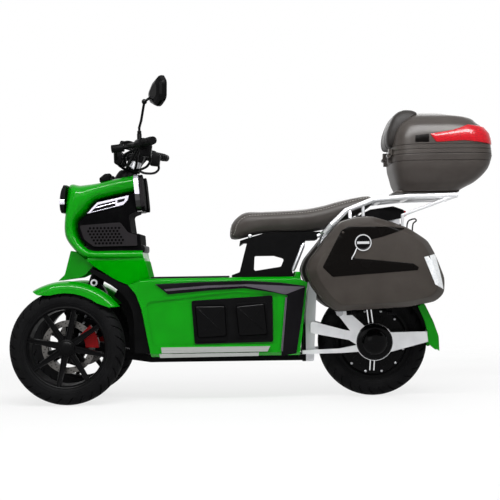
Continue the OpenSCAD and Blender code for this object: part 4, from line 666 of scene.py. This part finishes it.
# Backrest pad: its side outline shrinks towards the two ends like a cushion, by the cube root of 1 less the
# sixth power of the run and by its 14th power, with two bell-shaped channels; behind, it stops 3 mm inside
# the lid's skin
padLook = {
    "half": 130, "sink": 3, "round": 0.35, "flat": 0.65, "least": 0.02, "channel": (0.42, 0.035, 0.05),
    "outline": [[1372, 1074], [1365, 1088], [1363, 1113], [1367, 1145], [1380, 1179], [1397, 1213],
        [1419, 1231], [1445, 1239], [1480, 1237], [1504, 1226], [1497, 1203], [1440, 1168], [1415, 1128],
        [1401, 1074]]}
outline = softOutline(padLook["outline"], 110, 5)
middle = outline[:-1].mean(0)
run = np.linspace(-1, 1, 61)[:, None]
bulge = (1 - np.abs(run) ** 6) ** (1 / 3) * padLook["round"] + padLook["flat"] * (1 - np.abs(run) ** 14)
channelAt, channelWide, channelDeep = padLook["channel"]
channel = 1 - channelDeep * np.exp(-((np.abs(run) - channelAt) / channelWide) ** 2)
flat = middle + (outline - middle)[None] * (np.clip(bulge, padLook["least"], 1) * channel)[..., None]
front, rear, wide = (np.interp(flat[..., 1], lidRows[:, 3], lidRows[:, n]) for n in range(3))
outward = np.clip(np.abs(padLook["half"] * run) / wide, 0, 1)
reach = (1 - outward ** caseLook["power"]) ** (1 / caseLook["power"])
stop = (front + rear) / 2 - (rear - front) / 2 * reach + padLook["sink"]
flatU = np.where(flat[..., 1] < lidRows[-1, 3], np.minimum(flat[..., 0], stop), flat[..., 0])
pad = skinPiece("backrestPad", "top_case_lid", padVinylPaintedShade,
                # the pad's darker vinyl is painted shade
                [capped(at(flatU, padLook["half"] * run, flat[..., 1]))], "top_case_pad", 60)

# Red lamp strip: the lid's own skin between a lower and a rising upper edge, lifted by 4 mm and closed
# behind, with a black end piece on each side
stripLook = {
    "lift": 4.0, "endLift": 1.6, "level": 1105.0, "span": 1.64, "endGap": 0.02, "endSpan": 1.9,
    "upper": ([1542, 1635, 1723, 1800], [1121, 1135, 1159, 1153]),
    "lower": ([1542, 1564, 1680, 1785], [1117, 1085, 1091, 1079]), "endUpper": ([1490, 1545], [1116, 1122]),
    "endLower": ([1490, 1560], [1086, 1084]),
    "section": [[0, -1.5], [0.04, 0], [0.3, 1], [0.6, 1], [0.96, 0], [1, -1.5], [1, -7], [0, -7], [0, -1.5]]}


def lidSkin(turn, height, lift):  # the lid's skin at a turn round the case and a height, lifted off it
    front, rear, half = (np.interp(height, lidRows[:, 3], lidRows[:, n]) for n in range(3))
    along, across = squaredOval(caseLook["power"], turn)
    return at((front + rear) / 2 + ((rear - front) / 2 + lift) * along, (half + lift) * across, height)


def lidStrip(turn, upper, lower, raised):  # closed strip on the lid between two edges (along, height)
    along = lidSkin(turn, np.full_like(turn, stripLook["level"]), 0)[:, 0] - frontAxle[0]
    high, low = np.interp(along, *upper), np.interp(along, *lower)
    rows = [lidSkin(turn, low + (high - low) * rise, raised + lift) for rise, lift in stripLook["section"]]
    return capped(np.stack(rows).transpose(1, 0, 2))


span = stripLook["span"]
strip = lidStrip(np.linspace(-span, span, 240), stripLook["upper"], stripLook["lower"], stripLook["lift"])
skinPiece("lampStrip", "top_case_lid", redAcrylic, [strip], "top_case_reflector", 40)
endTurn = np.linspace(span + stripLook["endGap"], stripLook["endSpan"], 40)
skinPiece("stripEnds", "top_case_lid", caseGloss,
          [lidStrip(side * endTurn, stripLook["endUpper"], stripLook["endLower"], stripLook["endLift"])
           for side in (-1, 1)])
print("top case made")

# Panniers: one side outline drawn towards its middle by a share that falls with the depth; the wall is drawn
# twice, so both halves are hollow. A point on the lid finds its depth from how near it lies to the outline
pannierLook = {
    "count": 200, "rounds": 5, "mid": (1290, 570), "inner": 146.5, "split": 234.5, "wall": 6.5,
    "hingeZ": 368, "lugs": (1170, 1340), "lugR": 8, "tubLug": (0, 18, -14), "lidLug": (18.5, 21, 1),
    "strap": (13, 34),
    "outline": [[1143, 751], [1212, 769], [1275, 772], [1357, 748], [1432, 719], [1508, 668], [1539, 610],
        [1577, 509], [1574, 446], [1539, 415], [1420, 392], [1124, 378], [1080, 409], [1023, 486], [998, 549],
        [1017, 599]],
    "tub": [[0, 0.92], [3, 0.955], [8, 0.982], [14, 0.997], [22, 1], [74, 1], [76, 1.005], [86, 1.005],
        [87, 1]],
    "tubIn": [[87, 1], [24, 1], [14, 0.985], [9, 0.95], [7, 0.9]],
    "lidOut": [[98, 0.4], [98, 0.84], [97.4, 0.855], [95, 0.868], [91, 0.88], [62, 0.972], [55, 0.984],
        [30, 0.992], [15, 0.998]],
    "lidEdge": [[14, 0.99], [11, 0.99], [10, 1.005], [2, 1.005], [1, 1]],
    "lidIn": [[1, 1], [48, 0.985], [80, 0.9], [90, 0.86], [91, 0.8]],
    "gasket": [[83.5, 0.98], [83.5, 1.012], [84, 1.014], [87, 1.014], [87.5, 1.012], [87.5, 0.98],
        [83.5, 0.98]],
    "lock": (1233, 660), "lockFace": 98, "lockBar": (25, 5), "lockBarY": (101, 106),
    "lockRing": [[29, -3], [29, 5], [30, 7], [34, 7], [35.5, 5], [35.5, -3], [29, -3]],
    "keyhole": [[0, 4.5], [26, 4.5], [28.5, 2.5], [28.5, -3], [0, -3]],
    "pull": [[1206, 103, 638], [1198, 104, 618], [1187, 102, 600], [1185, 100, 592]],
    "pullR": [2.4, 3, 3, 2], "swooshLift": 2.2, "reflectorLift": 2.0, "wireR": 3,
    "swooshOut": [[1407, 718], [1352, 724], [1172, 727], [1144, 710], [1066, 562], [1106, 522], [1455, 545]],
    "swooshIn": [[1405, 714], [1316, 684], [1265, 673], [1206, 631], [1193, 601], [1201, 597], [1436, 573],
        [1459, 557]],
    "reflector": [[1482, 598], [1534, 611], [1565, 465], [1526, 485]],
    "wire": [[1428, 232, 722], [1430, 234, 740], [1438, 235, 753], [1460, 235, 759], [1467, 235, 751],
        [1454, 234, 738], [1450, 232, 706]]}
pannierMid = np.array(pannierLook["mid"], float)
pannierRing = softOutline(pannierLook["outline"], pannierLook["count"], pannierLook["rounds"])
spoke = pannierRing - pannierMid
spokeLong = np.linalg.norm(spoke, axis=1)


def pannierRows(steps, start, inset, side):  # rings of (depth, share) measured across from a start
    s = np.asarray(steps, float)
    flat = pannierMid + spoke[None] * (s[:, 1, None] - inset / spokeLong)[..., None]
    return at(flat[..., 0], side * (start + s[:, :1]), flat[..., 1])


def pannierHalf(outside, inside, start, side):  # both walls of a tub or lid
    walls = [pannierRows(outside, start, 0, side), pannierRows(inside, start, pannierLook["wall"], side)]
    return capped(np.concatenate(walls))


def onPannier(side):  # places a strip on the lid's outer skin
    turn = np.arctan2(spoke[:-1, 1], spoke[:-1, 0])
    order = np.argsort(turn)
    depth, share = np.array(pannierLook["lidOut"]).T

    def place(u, z, lift):
        away = np.stack([u, z], -1) - pannierMid
        heading = np.arctan2(away[..., 1], away[..., 0])
        edge = np.interp(heading, turn[order], spokeLong[:-1][order], period=2 * np.pi)
        out = np.interp(np.linalg.norm(away, axis=-1) / edge, share, depth)
        return at(u, side * (pannierLook["split"] + out + lift), z)
    return place


def evenly(points, count):  # the same polyline with points at even spacing
    p = np.asarray(points, float)
    length = distances(p)
    even = np.linspace(0, length[-1], count)
    return np.stack([np.interp(even, length, p[:, n]) for n in range(p.shape[1])], -1)


def inlay(one, other, lift, place):
    # raised strip between two polylines, its closed edges sunk below the skin
    one, other = evenly(one, 120), evenly(other, 120)
    share = np.array([0, 0, 0.02, 0.25, 0.5, 0.75, 0.98, 1, 1, 0])
    level = np.array([-2, lift - 0.5, lift, lift, lift, lift, lift, lift - 0.5, -2, -2])
    flat = one[:, None] + (other - one)[:, None] * share[None, :, None]
    return capped(place(flat[..., 0], flat[..., 1], np.broadcast_to(level, flat.shape[:2])))


def mirrored(route, side):  # points (along, across, up) on one side of the part
    along, across, up = np.array(route, float).T
    return at(along, side * across, up)


for name, side in leftFirst:
    split, inner, lidBody = pannierLook["split"], pannierLook["inner"], f"pannier_lid_{name}"
    lidSteps = pannierLook["lidOut"] + pannierLook["lidEdge"]
    tubLugs, lidLugs = [], []
    foot, (wide, tall) = pannierLook["hingeZ"], pannierLook["strap"]
    for skins, (start, long, back) in ((tubLugs, pannierLook["tubLug"]), (lidLugs, pannierLook["lidLug"])):
        low, high = sorted((side * (split + back), side * (split + back + wide)))
        for u in pannierLook["lugs"]:
            ends = (u + start, u + start + long)
            skins.append(tube(at(np.array(ends), side * split, foot), pannierLook["lugR"], 24, (0, 0, 1)))
            skins.append(box((ends[0], low, foot), (ends[1], high, foot + tall)))
    skinPiece(f"pannierTub_{name}", "chassis", caseShell,
              [pannierHalf(pannierLook["tub"], pannierLook["tubIn"], inner, side)], f"pannier_tub_{name}",
              40)
    skinPiece(f"pannierLid_{name}", lidBody, pannierShell,
              [pannierHalf(lidSteps, pannierLook["lidIn"], split, side)], f"pannier_lid_{name}", 24)
    skinPiece(f"pannierGasket_{name}", "chassis", matRubber,
              [pannierRows(pannierLook["gasket"], inner, 0, side)])
    skinPiece(f"pannierTubLugs_{name}", "chassis", grainedBlack, tubLugs, None, 40)
    skinPiece(f"pannierLidLugs_{name}", lidBody, grainedBlack, lidLugs, None, 40)
    swoosh = inlay(pannierLook["swooshOut"], pannierLook["swooshIn"], pannierLook["swooshLift"],
                   onPannier(side))
    skinPiece(f"pannierSwoosh_{name}", lidBody, caseGloss, [swoosh])
    a, b, c, d = pannierLook["reflector"]
    skinPiece(f"pannierReflector_{name}", lidBody, paleAcrylic,
              [inlay([a, d], [b, c], pannierLook["reflectorLift"], onPannier(side))])
    (lockU, lockZ), (long, half) = pannierLook["lock"], pannierLook["lockBar"]
    centre = (lockU + frontAxle[0], side * (split + pannierLook["lockFace"]), lockZ)
    low, high = sorted(side * (split + y) for y in pannierLook["lockBarY"])
    lockBar = box((lockU - long, low, lockZ - half), (lockU + long, high, lockZ + half))
    pull = tube(mirrored(np.array(pannierLook["pull"]) + [0, split, 0], side), pannierLook["pullR"], 12)
    skinPiece(f"pannierLock_{name}", lidBody, chromePlate,
              [revolve(pannierLook["lockRing"], centre, 64, side), lockBar, pull])
    skinPiece(f"pannierKeyhole_{name}", lidBody, pianoBlack,
              [revolve(pannierLook["keyhole"], centre, 48, side)])
    wire = curve(mirrored(pannierLook["wire"], side), 60)
    skinPiece(f"pannierWire_{name}", "chassis", powderBlack,
              [tube(wire, pannierLook["wireR"], 10, (0, 1, 0.01))])
print("panniers made")


def radialBar(centre, heading, reach, span, levels):
    # straight bar drawn outwards from an axle, four corners at each end
    outward = np.array([math.cos(heading), 0, math.sin(heading)])
    sideways = np.array([-math.sin(heading), 0, math.cos(heading)])
    wide = np.array([span[0], span[1], span[1], span[0], span[0]], float)
    level = np.array([levels[0], levels[0], levels[1], levels[1], levels[0]], float)
    ends = np.asarray(reach, float)[:, None, None] * outward
    return capped(centre + ends + wide[None, :, None] * sideways + level[None, :, None] * acrossWay)


def dome(centre, radius, tall, side):
    # low button on a face across the part: a quarter oval turned about its middle
    quarter = np.linspace(0, np.pi / 2, 6)
    profile = np.column_stack([radius * np.sin(quarter), tall * np.cos(quarter)])
    return revolve(np.vstack([profile, [[radius, -2], [0, -2]]]), centre, 20, side)


# Front brake discs: a ground ring on a black carrier with six arms; dark studs flush with the ring stand for
# its drillings
discLook = {
    "ring": (86, 112), "levels": (-22.2, -17.8), "carrier": (33, 50), "arms": 6, "armHalf": 8,
    "armProud": 0.6, "armTurn": 0.3, "armTuck": (4, 5), "holeRings": (92, 99, 106), "holes": 20,
    "holeR": 2.6, "holeProud": 0.15}
for name, side in leftFirst:
    centre = np.array([frontAxle[0], side * abs(frontTyre["y"]), frontAxle[2]])
    body, (low, high) = f"wheel_front_{name}", discLook["levels"]
    ring, carrier = ([[r0, low], [r1, low], [r1, high], [r0, high], [r0, low]]
                     for r0, r1 in (discLook["ring"], discLook["carrier"]))
    skinPiece(f"discRing_{name}", body, groundSteel, [revolve(ring, centre, 96, side)],
              f"brake_disc_{name}", 30)
    proud, half, tuck = discLook["armProud"], discLook["armHalf"], discLook["armTuck"]
    reach = (discLook["carrier"][1] - tuck[0], discLook["ring"][0] + tuck[1])
    levels = (side * (low - proud), side * (high + proud))
    headings = [2 * np.pi * k / discLook["arms"] + discLook["armTurn"] for k in range(discLook["arms"])]
    arms = [radialBar(centre, heading, reach, (-half, half), levels) for heading in headings]
    skinPiece(f"discCarrier_{name}", body, wheelLacquer,
              [revolve(carrier, centre, 64, side)] + arms, None, 30)
    r, foot, top = discLook["holeR"], low - discLook["holeProud"], high + discLook["holeProud"]
    studs = []
    for n, radius in enumerate(discLook["holeRings"]):
        for turn in 2 * np.pi * (np.arange(discLook["holes"]) + n / 3) / discLook["holes"]:
            place = centre + radius * np.array([math.cos(turn), 0, math.sin(turn)])
            studs.append(revolve([[0, foot], [r, foot], [r, top], [0, top]], place, 10, side))
    skinPiece(f"discDrillings_{name}", body, wheelLacquer, studs, None, 30)
print("discs made")

# Rear hub: bolt heads on a ring, two bright ribbed bars, and the domed covers on the swingarm's ends
hubLook = {
    "bolts": 12, "boltRing": 134, "boltR": 6, "boltTall": 3.6, "boltFace": 50, "barFace": (54, 58.5),
    "bars": ((97, 140), (266, 126)), "barFrom": 78, "barHalf": 11, "rib": 4.5, "webFace": 56, "armFace": 100,
    "axleR": 8, "axleProud": 2,
    "cover": [[0, 47], [14, 46.3], [28, 43.6], [40, 38.5], [49, 31], [54, 24], [56, 20], [61, 18.5], [69, 17],
        [74, 13.5], [76, 8], [76, 0.3], [0, 0.3]],
    "ring": [[76.2, 0.3], [80, 0.3], [80, 3], [78.2, 4.4], [76.2, 3.2], [76.2, 0.3]]}
bolts, bars, webs, covers, rings = [], [], [], [], []
for side in (-1, 1):
    for turn in 2 * np.pi * (np.arange(hubLook["bolts"]) + 0.5) / hubLook["bolts"]:
        place = rearAxle + hubLook["boltRing"] * np.array([math.cos(turn), 0, math.sin(turn)])
        place = place + [0, side * hubLook["boltFace"], 0]
        bolts.append(dome(place, hubLook["boltR"], hubLook["boltTall"], side))
    half, rib, (foot, face) = hubLook["barHalf"], hubLook["rib"], hubLook["barFace"]
    for turn, end in hubLook["bars"]:
        heading, reach = math.radians(turn), (hubLook["barFrom"], end)
        for span in ((-half, -half + rib), (half - rib, half)):
            bars.append(radialBar(rearAxle, heading, reach, span, (side * foot, side * face)))
        webs.append(radialBar(rearAxle, heading, reach, (rib - half, half - rib),
                              (side * foot, side * hubLook["webFace"])))
    armCentre = rearAxle + [0, side * hubLook["armFace"], 0]
    covers.append(revolve(hubLook["cover"], armCentre, 96, side))
    rings.append(revolve(hubLook["ring"], armCentre, 96, side))
end, r = hubLook["armFace"] + hubLook["axleProud"], hubLook["axleR"]
covers.append(revolve([[0, -end], [r, -end], [r, end], [0, end]], rearAxle, 32))
skinPiece("hubBolts", "wheel_rear", zincPlate, bolts)
skinPiece("hubBars", "wheel_rear", chromePlate, bars, None, 30)
skinPiece("hubBarWebs", "wheel_rear", wheelLacquer, webs, None, 30)
skinPiece("hubCovers", "chassis", pianoBlack, covers, "motor_covers", 30)
skinPiece("hubRings", "chassis", chromePlate, rings)

# Green cheeks over the ends of the mudguard's stays: a strip between two side lines
cheekLook = {
    "face": 100, "lift": 3.6, "rear": [[1511, 393], [1537, 339], [1560, 300], [1571, 248], [1569, 204]],
    "front": [[1489, 390], [1516, 326], [1527, 284], [1529, 256], [1532, 228], [1560, 202]]}


def onFace(level, side):  # places a strip on a flat side face at a distance across
    return lambda u, z, lift: at(u, side * (level + lift), z)


skinPiece("bladeCheeks", "chassis", greenLacquer,
          [inlay(cheekLook["front"], cheekLook["rear"], cheekLook["lift"],
                 onFace(cheekLook["face"], side)) for side in (-1, 1)])
print("rear hub made")

# Floor sides: trim strips that turn down behind, a facet along them painted paler as a highlight, bright
# rails in two steps, and battery covers like pillows with a raised cross
floorLook = {
    "side": 165, "trimLift": 9, "facetLift": 1.2,
    "trimOut": [[366, 500], [560, 507], [753, 509.5], [900, 500], [1003, 484], [985, 350], [961, 200]],
    "trimIn": [[420, 456], [580, 469], [741, 478], [860, 459], [926, 445], [910, 300], [896, 188]],
    "facetTop": [[404, 478], [578, 491], [760, 495], [900, 487], [1001, 480]],
    "facetLow": [[412, 470], [599, 482], [747, 487], [831, 470], [918, 449]],
    "edgeFront": [[917, 438], [895, 212]], "edgeRear": [[925, 436], [903, 209]],
    "railTop": [[392, 208], [838, 210], [850, 232], [389, 232]],
    "railLow": [[385, 189], [800, 192], [802, 206], [381, 205]], "railOut": (183, 187), "pillow": (172, 182),
    "pillowEdge": 8, "crossR": 2.4, "crossReach": 0.75,
    "covers": [[[534, 406], [661, 406], [666, 277], [545, 270]],
        [[706, 403], [828, 414], [839, 281], [719, 276]]],
    "upright": [[955, 504], [966, 545], [983, 545], [988, 504]], "uprightY": (100, 126)}
# Facet of the trim: the trim's satin black painted a paler grey, a painted highlight for the light the facet
# catches
paintedSheenGrey = makeFinish("paintedSheenGrey", "#4c4750", mottled=("#46424a", "#544f58", 120), grained=(1.4, 0.03),
                       Roughness=0.35, IOR=1.3)
trims, facets, rails, framing, uprights = [], [], [], [], []
for side in (-1, 1):
    trimFace = floorLook["side"] + floorLook["trimLift"]
    trims.append(inlay(floorLook["trimOut"], floorLook["trimIn"], floorLook["trimLift"],
                       onFace(floorLook["side"], side)))
    for one, other in (("facetTop", "facetLow"), ("edgeFront", "edgeRear")):
        facets.append(inlay(floorLook[one], floorLook[other], floorLook["facetLift"],
                            onFace(trimFace, side)))
    for outline, out in zip((floorLook["railTop"], floorLook["railLow"]), floorLook["railOut"]):
        a, b, c, d = outline
        rails.append(inlay([a, b], [d, c], out - floorLook["side"], onFace(floorLook["side"], side)))
    for corners in floorLook["covers"]:
        framing.append(sidePlate(corners, 96, 3, floorLook["pillow"], floorLook["pillowEdge"], side))
        square = np.array(corners, float)
        heart = square.mean(0)
        for corner in heart + (square - heart) * floorLook["crossReach"]:
            line = np.linspace(heart, corner, 8)
            framing.append(tube(at(line[:, 0], side * floorLook["pillow"][1], line[:, 1]),
                                floorLook["crossR"], 8))
    uprights.append(sidePlate(floorLook["upright"], 60, 2, floorLook["uprightY"], 3, side))
skinPiece("sideTrims", "chassis", graphiteTrim, trims, "side_trims")
# the facets carry the painted highlight of the trim
skinPiece("trimFacetSheen", "chassis", paintedSheenGrey, facets)
skinPiece("floorRails", "chassis", brushedAluminium, rails, "side_rails")
skinPiece("coverPillows", "chassis", pianoBlack, framing, None, 50)
skinPiece("floorUprights", "chassis", greenLacquer, uprights)

# Mud flap behind the front wheels: a curved strip between two side lines, as wide as the splash shield, and
# black fillers that close the joints under the cowl
flapLook = {
    "half": 130,
    "rear": [[150, 548], [214, 522], [250, 499], [281, 452], [299, 385], [312, 290], [320, 205]],
    "front": [[142, 516], [172, 499], [202, 477], [227, 452], [246, 428], [264, 385], [271, 330],
        [272, 206]],
    "core": [[146, 528], [172, 499], [191, 480], [174, 450], [202, 425], [226, 366], [238, 301], [241, 206]],
    "coreHalf": 40, "filler": [[58, 636], [318, 636], [318, 668], [48, 668]], "fillerHalf": 112,
    "chin": [[70, 596], [318, 590], [318, 616], [70, 616]], "chinHalf": 126}
flaps = [inlay(flapLook[line], flapLook["rear"], 2 * half, onFace(-half, 1))
         for line, half in (("front", flapLook["half"]), ("core", flapLook["coreHalf"]))]
filler, chin = (plate(softOutline(flapLook[key], 90, 2), (-flapLook[key + "Half"], flapLook[key + "Half"]),
                      edge)
                for key, edge in (("filler", 3), ("chin", 4)))
skinPiece("mudFlap", "chassis", grainedBlack, flaps)
skinPiece("panelFoot", "chassis", grainedBlack, [filler])
skinPiece("cowlChin", "chassis", greenLacquer, [chin])

# Seat frame: bolt heads and the bright gas strut on each rear leg
frameLook = {
    "face": 88, "bolts": [(771, 701), (1068, 699)], "boltR": 9,
    "strut": [[1003, 667], [998, 655], [978, 606], [960, 562], [954, 548]], "strutR": [5, 9, 9, 9, 6]}
bright = []
for side in (-1, 1):
    for u, z in frameLook["bolts"]:
        bright.append(dome((u + frontAxle[0], side * frameLook["face"], z), frameLook["boltR"], 4, side))
    line = np.array(frameLook["strut"], float)
    bright.append(tube(at(line[:, 0], side * frameLook["face"], line[:, 1]), frameLook["strutR"], 16))
skinPiece("seatFrameFittings", "chassis", zincPlate, bright)
print("floor and seat frame dressed")

# Handlebar dressing: switch housings from a side outline, a grey column sleeve, a collar whose radius falls
# from front to rear (middle radius less a share of the cosine), and hoses that run down to the column
barLook = {
    "housing": [[309, 1109], [338, 1108], [364, 1087], [359, 1036], [317, 1041], [308, 1067]],
    "housingY": (184, 230), "collarR": (47, 17), "bore": 27.5, "hoseR": 5.5,
    "sleeve": [[22.4, 806], [25, 807], [25, 842], [22.4, 843], [22.4, 806]],
    "strap": [[22.4, 794], [31, 795], [31, 804], [22.4, 805], [22.4, 794]],
    "collar": [[0, 735], [1, 735], [1.04, 750], [0.97, 768], [0.9, 780], [0.78, 788], [0, 788]],
    "hoses": [[[300, 205, 1090], [256, 190, 1104], [212, 140, 1090], [196, 90, 1050], [214, 44, 1012],
        [238, 16, 1002]],
        [[302, 196, 1072], [272, 150, 1032], [244, 92, 1006], [240, 40, 1000], [244, 20, 1000]],
        [[334, 220, 1070], [356, 212, 1032], [340, 168, 1004], [304, 92, 996], [282, 22, 1002]],
        [[290, 120, 1080], [250, 112, 1066], [232, 80, 1046], [236, 44, 1020], [256, 24, 1004]],
        [[304, 160, 1085], [292, 120, 1050], [282, 70, 1020], [274, 34, 1006], [272, 26, 1000]]],
    "lump": [[120, 962], [144, 981], [166, 983], [174, 976], [166, 950], [122, 944]], "lumpY": (45, 76),
    "splitter": [[184, 1086], [206, 1090], [224, 1062], [222, 1028], [204, 1014], [186, 1026]],
    "splitterY": (52, 84)}
housings, hoses, lumps = [], [], []
for side in (-1, 1):
    housings.append(sidePlate(barLook["housing"], 90, 3, barLook["housingY"], 7, side))
    for route in barLook["hoses"]:
        hoses.append(tube(curve(mirrored(route, side), 60), barLook["hoseR"], 10, (0.1, 0.2, 1)))
    housings.append(sidePlate(barLook["splitter"], 70, 3, barLook["splitterY"], 5, side))
    lumps.append(sidePlate(barLook["lump"], 70, 3, barLook["lumpY"], 5, side))
skinPiece("switchHousings", "steering", grainedBlack, housings)
skinPiece("controlHoses", "steering", grainedBlack, hoses)
skinPiece("columnSleeve", "steering", zincPlate, [onSteerAxis(barLook["sleeve"])])
skinPiece("hoseStrap", "steering", grainedBlack, [onSteerAxis(barLook["strap"])])
skinPiece("cowlStops", "chassis", grainedBlack, lumps)
share, height = np.array(barLook["collar"], float).T
turn = np.linspace(0, 2 * np.pi, 65)
reach = barLook["collarR"][0] - barLook["collarR"][1] * np.cos(turn)
radius = np.where(share[:, None] > 0, share[:, None] * reach[None], barLook["bore"])
radius, height = np.vstack([radius, radius[:1]]), np.append(height, height[0])
skinPiece("columnCollar", "chassis", grainedBlack, [aboutColumn(radius, height, turn)])

# Cowl sides: dark inserts in the trim's windows with a bright line across the larger one, and a bright band
# beside each lamp
windowLook = {
    "floor": 122, "lift": 0.9, "lineR": 1.5, "line": [[104, 829], [196, 852]],
    "large": ([[91, 813.5], [122, 844], [195.5, 860]], [[92, 813], [195.5, 837]]),
    "small": ([[204.5, 862.5], [237, 869.5]], [[204.5, 850], [234, 857.5]]),
    "band": [[-43, 846], [-20, 846], [-20, 868], [-43, 868]], "bandY": (124, 137.4)}
inserts, lines = [], []
for side in (-1, 1):
    for top, foot in (windowLook["large"], windowLook["small"]):
        inserts.append(inlay(top, foot, windowLook["lift"], onFace(windowLook["floor"], side)))
    line = np.linspace(*np.array(windowLook["line"], float), 12)
    lines.append(tube(at(line[:, 0], side * (windowLook["floor"] + windowLook["lift"]), line[:, 1]),
                      windowLook["lineR"], 8))
    lines.append(sidePlate(windowLook["band"], 60, 2, windowLook["bandY"], 2, side))
skinPiece("windowInserts", "chassis", pianoBlack, inserts)
skinPiece("cowlBrightwork", "chassis", silverTrim, lines)
print("handlebar and cowl dressed")

# Camera: level with the deck, square to the left side, turned by the photograph's small tilt
view = {
    "distance": 4700, "height": 555, "aimU": 769, "pitchDeg": 1.07, "rollDeg": -0.8, "focalPixels": 1068,
    "imagePixels": 500, "sensorMm": 36}
camera = bpy.data.objects.new("camera", bpy.data.cameras.new("camera"))
scene.collection.objects.link(camera)
camera.data.sensor_width = view["sensorMm"]
camera.data.lens = camera.data.sensor_width * view["focalPixels"] / view["imagePixels"]
camera.location = ((frontAxle[0] + view["aimU"]) * mm, -view["distance"] * mm, view["height"] * mm)
camera.rotation_mode = "XYZ"
camera.rotation_euler = (math.radians(90 + view["pitchDeg"]), math.radians(-view["rollDeg"]), 0)
scene.camera = camera

# Studio: white all round, a pale floor that fades out into it, two soft boxes, a rear box and a long strip,
# with a second strip that only polished surfaces show, as streaks
studio = {
    "floorSize": 9.0, "floorZ": -0.0005, "fadeFrom": 1.7, "fadeTo": 3.6, "floorGlow": 0.74, "ambient": 0.38,
    "aim": (0, 0, 0.6),
    "lamps": {"topBox": ((0.2, -0.9, 3.6), (3.6, 2.2), 26), "sideBox": ((-1.8, -4.2, 1.9), (2.6, 1.8), 24),
        "rearBox": ((0.8, 3.4, 2.6), (3.4, 2.4), 60), "strip": ((0.1, -2.3, 2.9), (4.4, 0.2), 86),
        "streak": ((0.1, -2.3, 2.9), (4.4, 0.8), 380)}}


def whereSeen(tree):  # 1 for what the lens, a mirror or a glass sees, 0 for the light that falls on things
    path = addNode(tree, "LightPath").outputs
    seen = path["Is Camera Ray"]
    for ray in ("Is Glossy Ray", "Is Transmission Ray"):
        seen = addNode(tree, "Math", {0: seen, 1: path[ray]}, operation="MAXIMUM").outputs[0]
    return seen


half, floorZ = studio["floorSize"] / 2, studio["floorZ"]
floorMesh = bpy.data.meshes.new("studioFloor")
floorCorners = [(x * half, y * half, floorZ) for x, y in ((-1, -1), (1, -1), (1, 1), (-1, 1))]
floorMesh.from_pydata(floorCorners, [], [(0, 1, 2, 3)])
floor = bpy.data.objects.new("studioFloor", floorMesh)
scene.collection.objects.link(floor)
# White sweep paper: matt, glowing a little to the lens so that it meets the white behind it, and still
# taking shadow
sweepPaper, tree, shader, coords = startMaterial("sweepPaper", "#f4f4f4", Roughness=0.95,
                                                 Specular_IOR_Level=0.0)
glow = addNode(tree, "Emission", Color=(1, 1, 1, 1), Strength=1.0)
share = addNode(tree, "Math", {0: whereSeen(tree)}, operation="MULTIPLY")
share.inputs[1].default_value = studio["floorGlow"]
lit = addNode(tree, "MixShader", {0: share.outputs[0], 1: shader.outputs[0], 2: glow.outputs[0]})
distance = addNode(tree, "VectorMath", {0: coords}, operation="LENGTH")
fade = addNode(tree, "MapRange", {"Value": distance.outputs["Value"]}, interpolation_type="SMOOTHSTEP",
               From_Min=studio["fadeFrom"], From_Max=studio["fadeTo"])
clear = addNode(tree, "BsdfTransparent")
edge = addNode(tree, "MixShader", {0: fade.outputs["Result"], 1: lit.outputs[0], 2: clear.outputs[0]})
tree.links.new(edge.outputs[0], tree.nodes["Material Output"].inputs["Surface"])
floorMesh.materials.append(sweepPaper)
for name, (place, size, power) in studio["lamps"].items():
    lamp = bpy.data.objects.new(name, bpy.data.lights.new(name, "AREA"))
    scene.collection.objects.link(lamp)
    lamp.data.shape = "RECTANGLE"
    lamp.data.energy = power
    lamp.data.size, lamp.data.size_y = size
    lamp.location = place
    lamp.visible_diffuse = name != "streak"
    aim = np.array(studio["aim"]) - np.array(place)
    lamp.rotation_euler = (math.acos(-aim[2] / np.linalg.norm(aim)), 0,
                           math.atan2(aim[1], aim[0]) - math.pi / 2)
world = bpy.data.worlds.new("studioWorld")
scene.world = world
world.use_nodes = True
tree = world.node_tree
level = addNode(tree, "MapRange", {"Value": whereSeen(tree)}, To_Min=studio["ambient"], To_Max=1.0)
tree.nodes["Background"].inputs["Color"].default_value = (1, 1, 1, 1)
tree.links.new(level.outputs["Result"], tree.nodes["Background"].inputs["Strength"])
scene.view_settings.view_transform = "Standard"
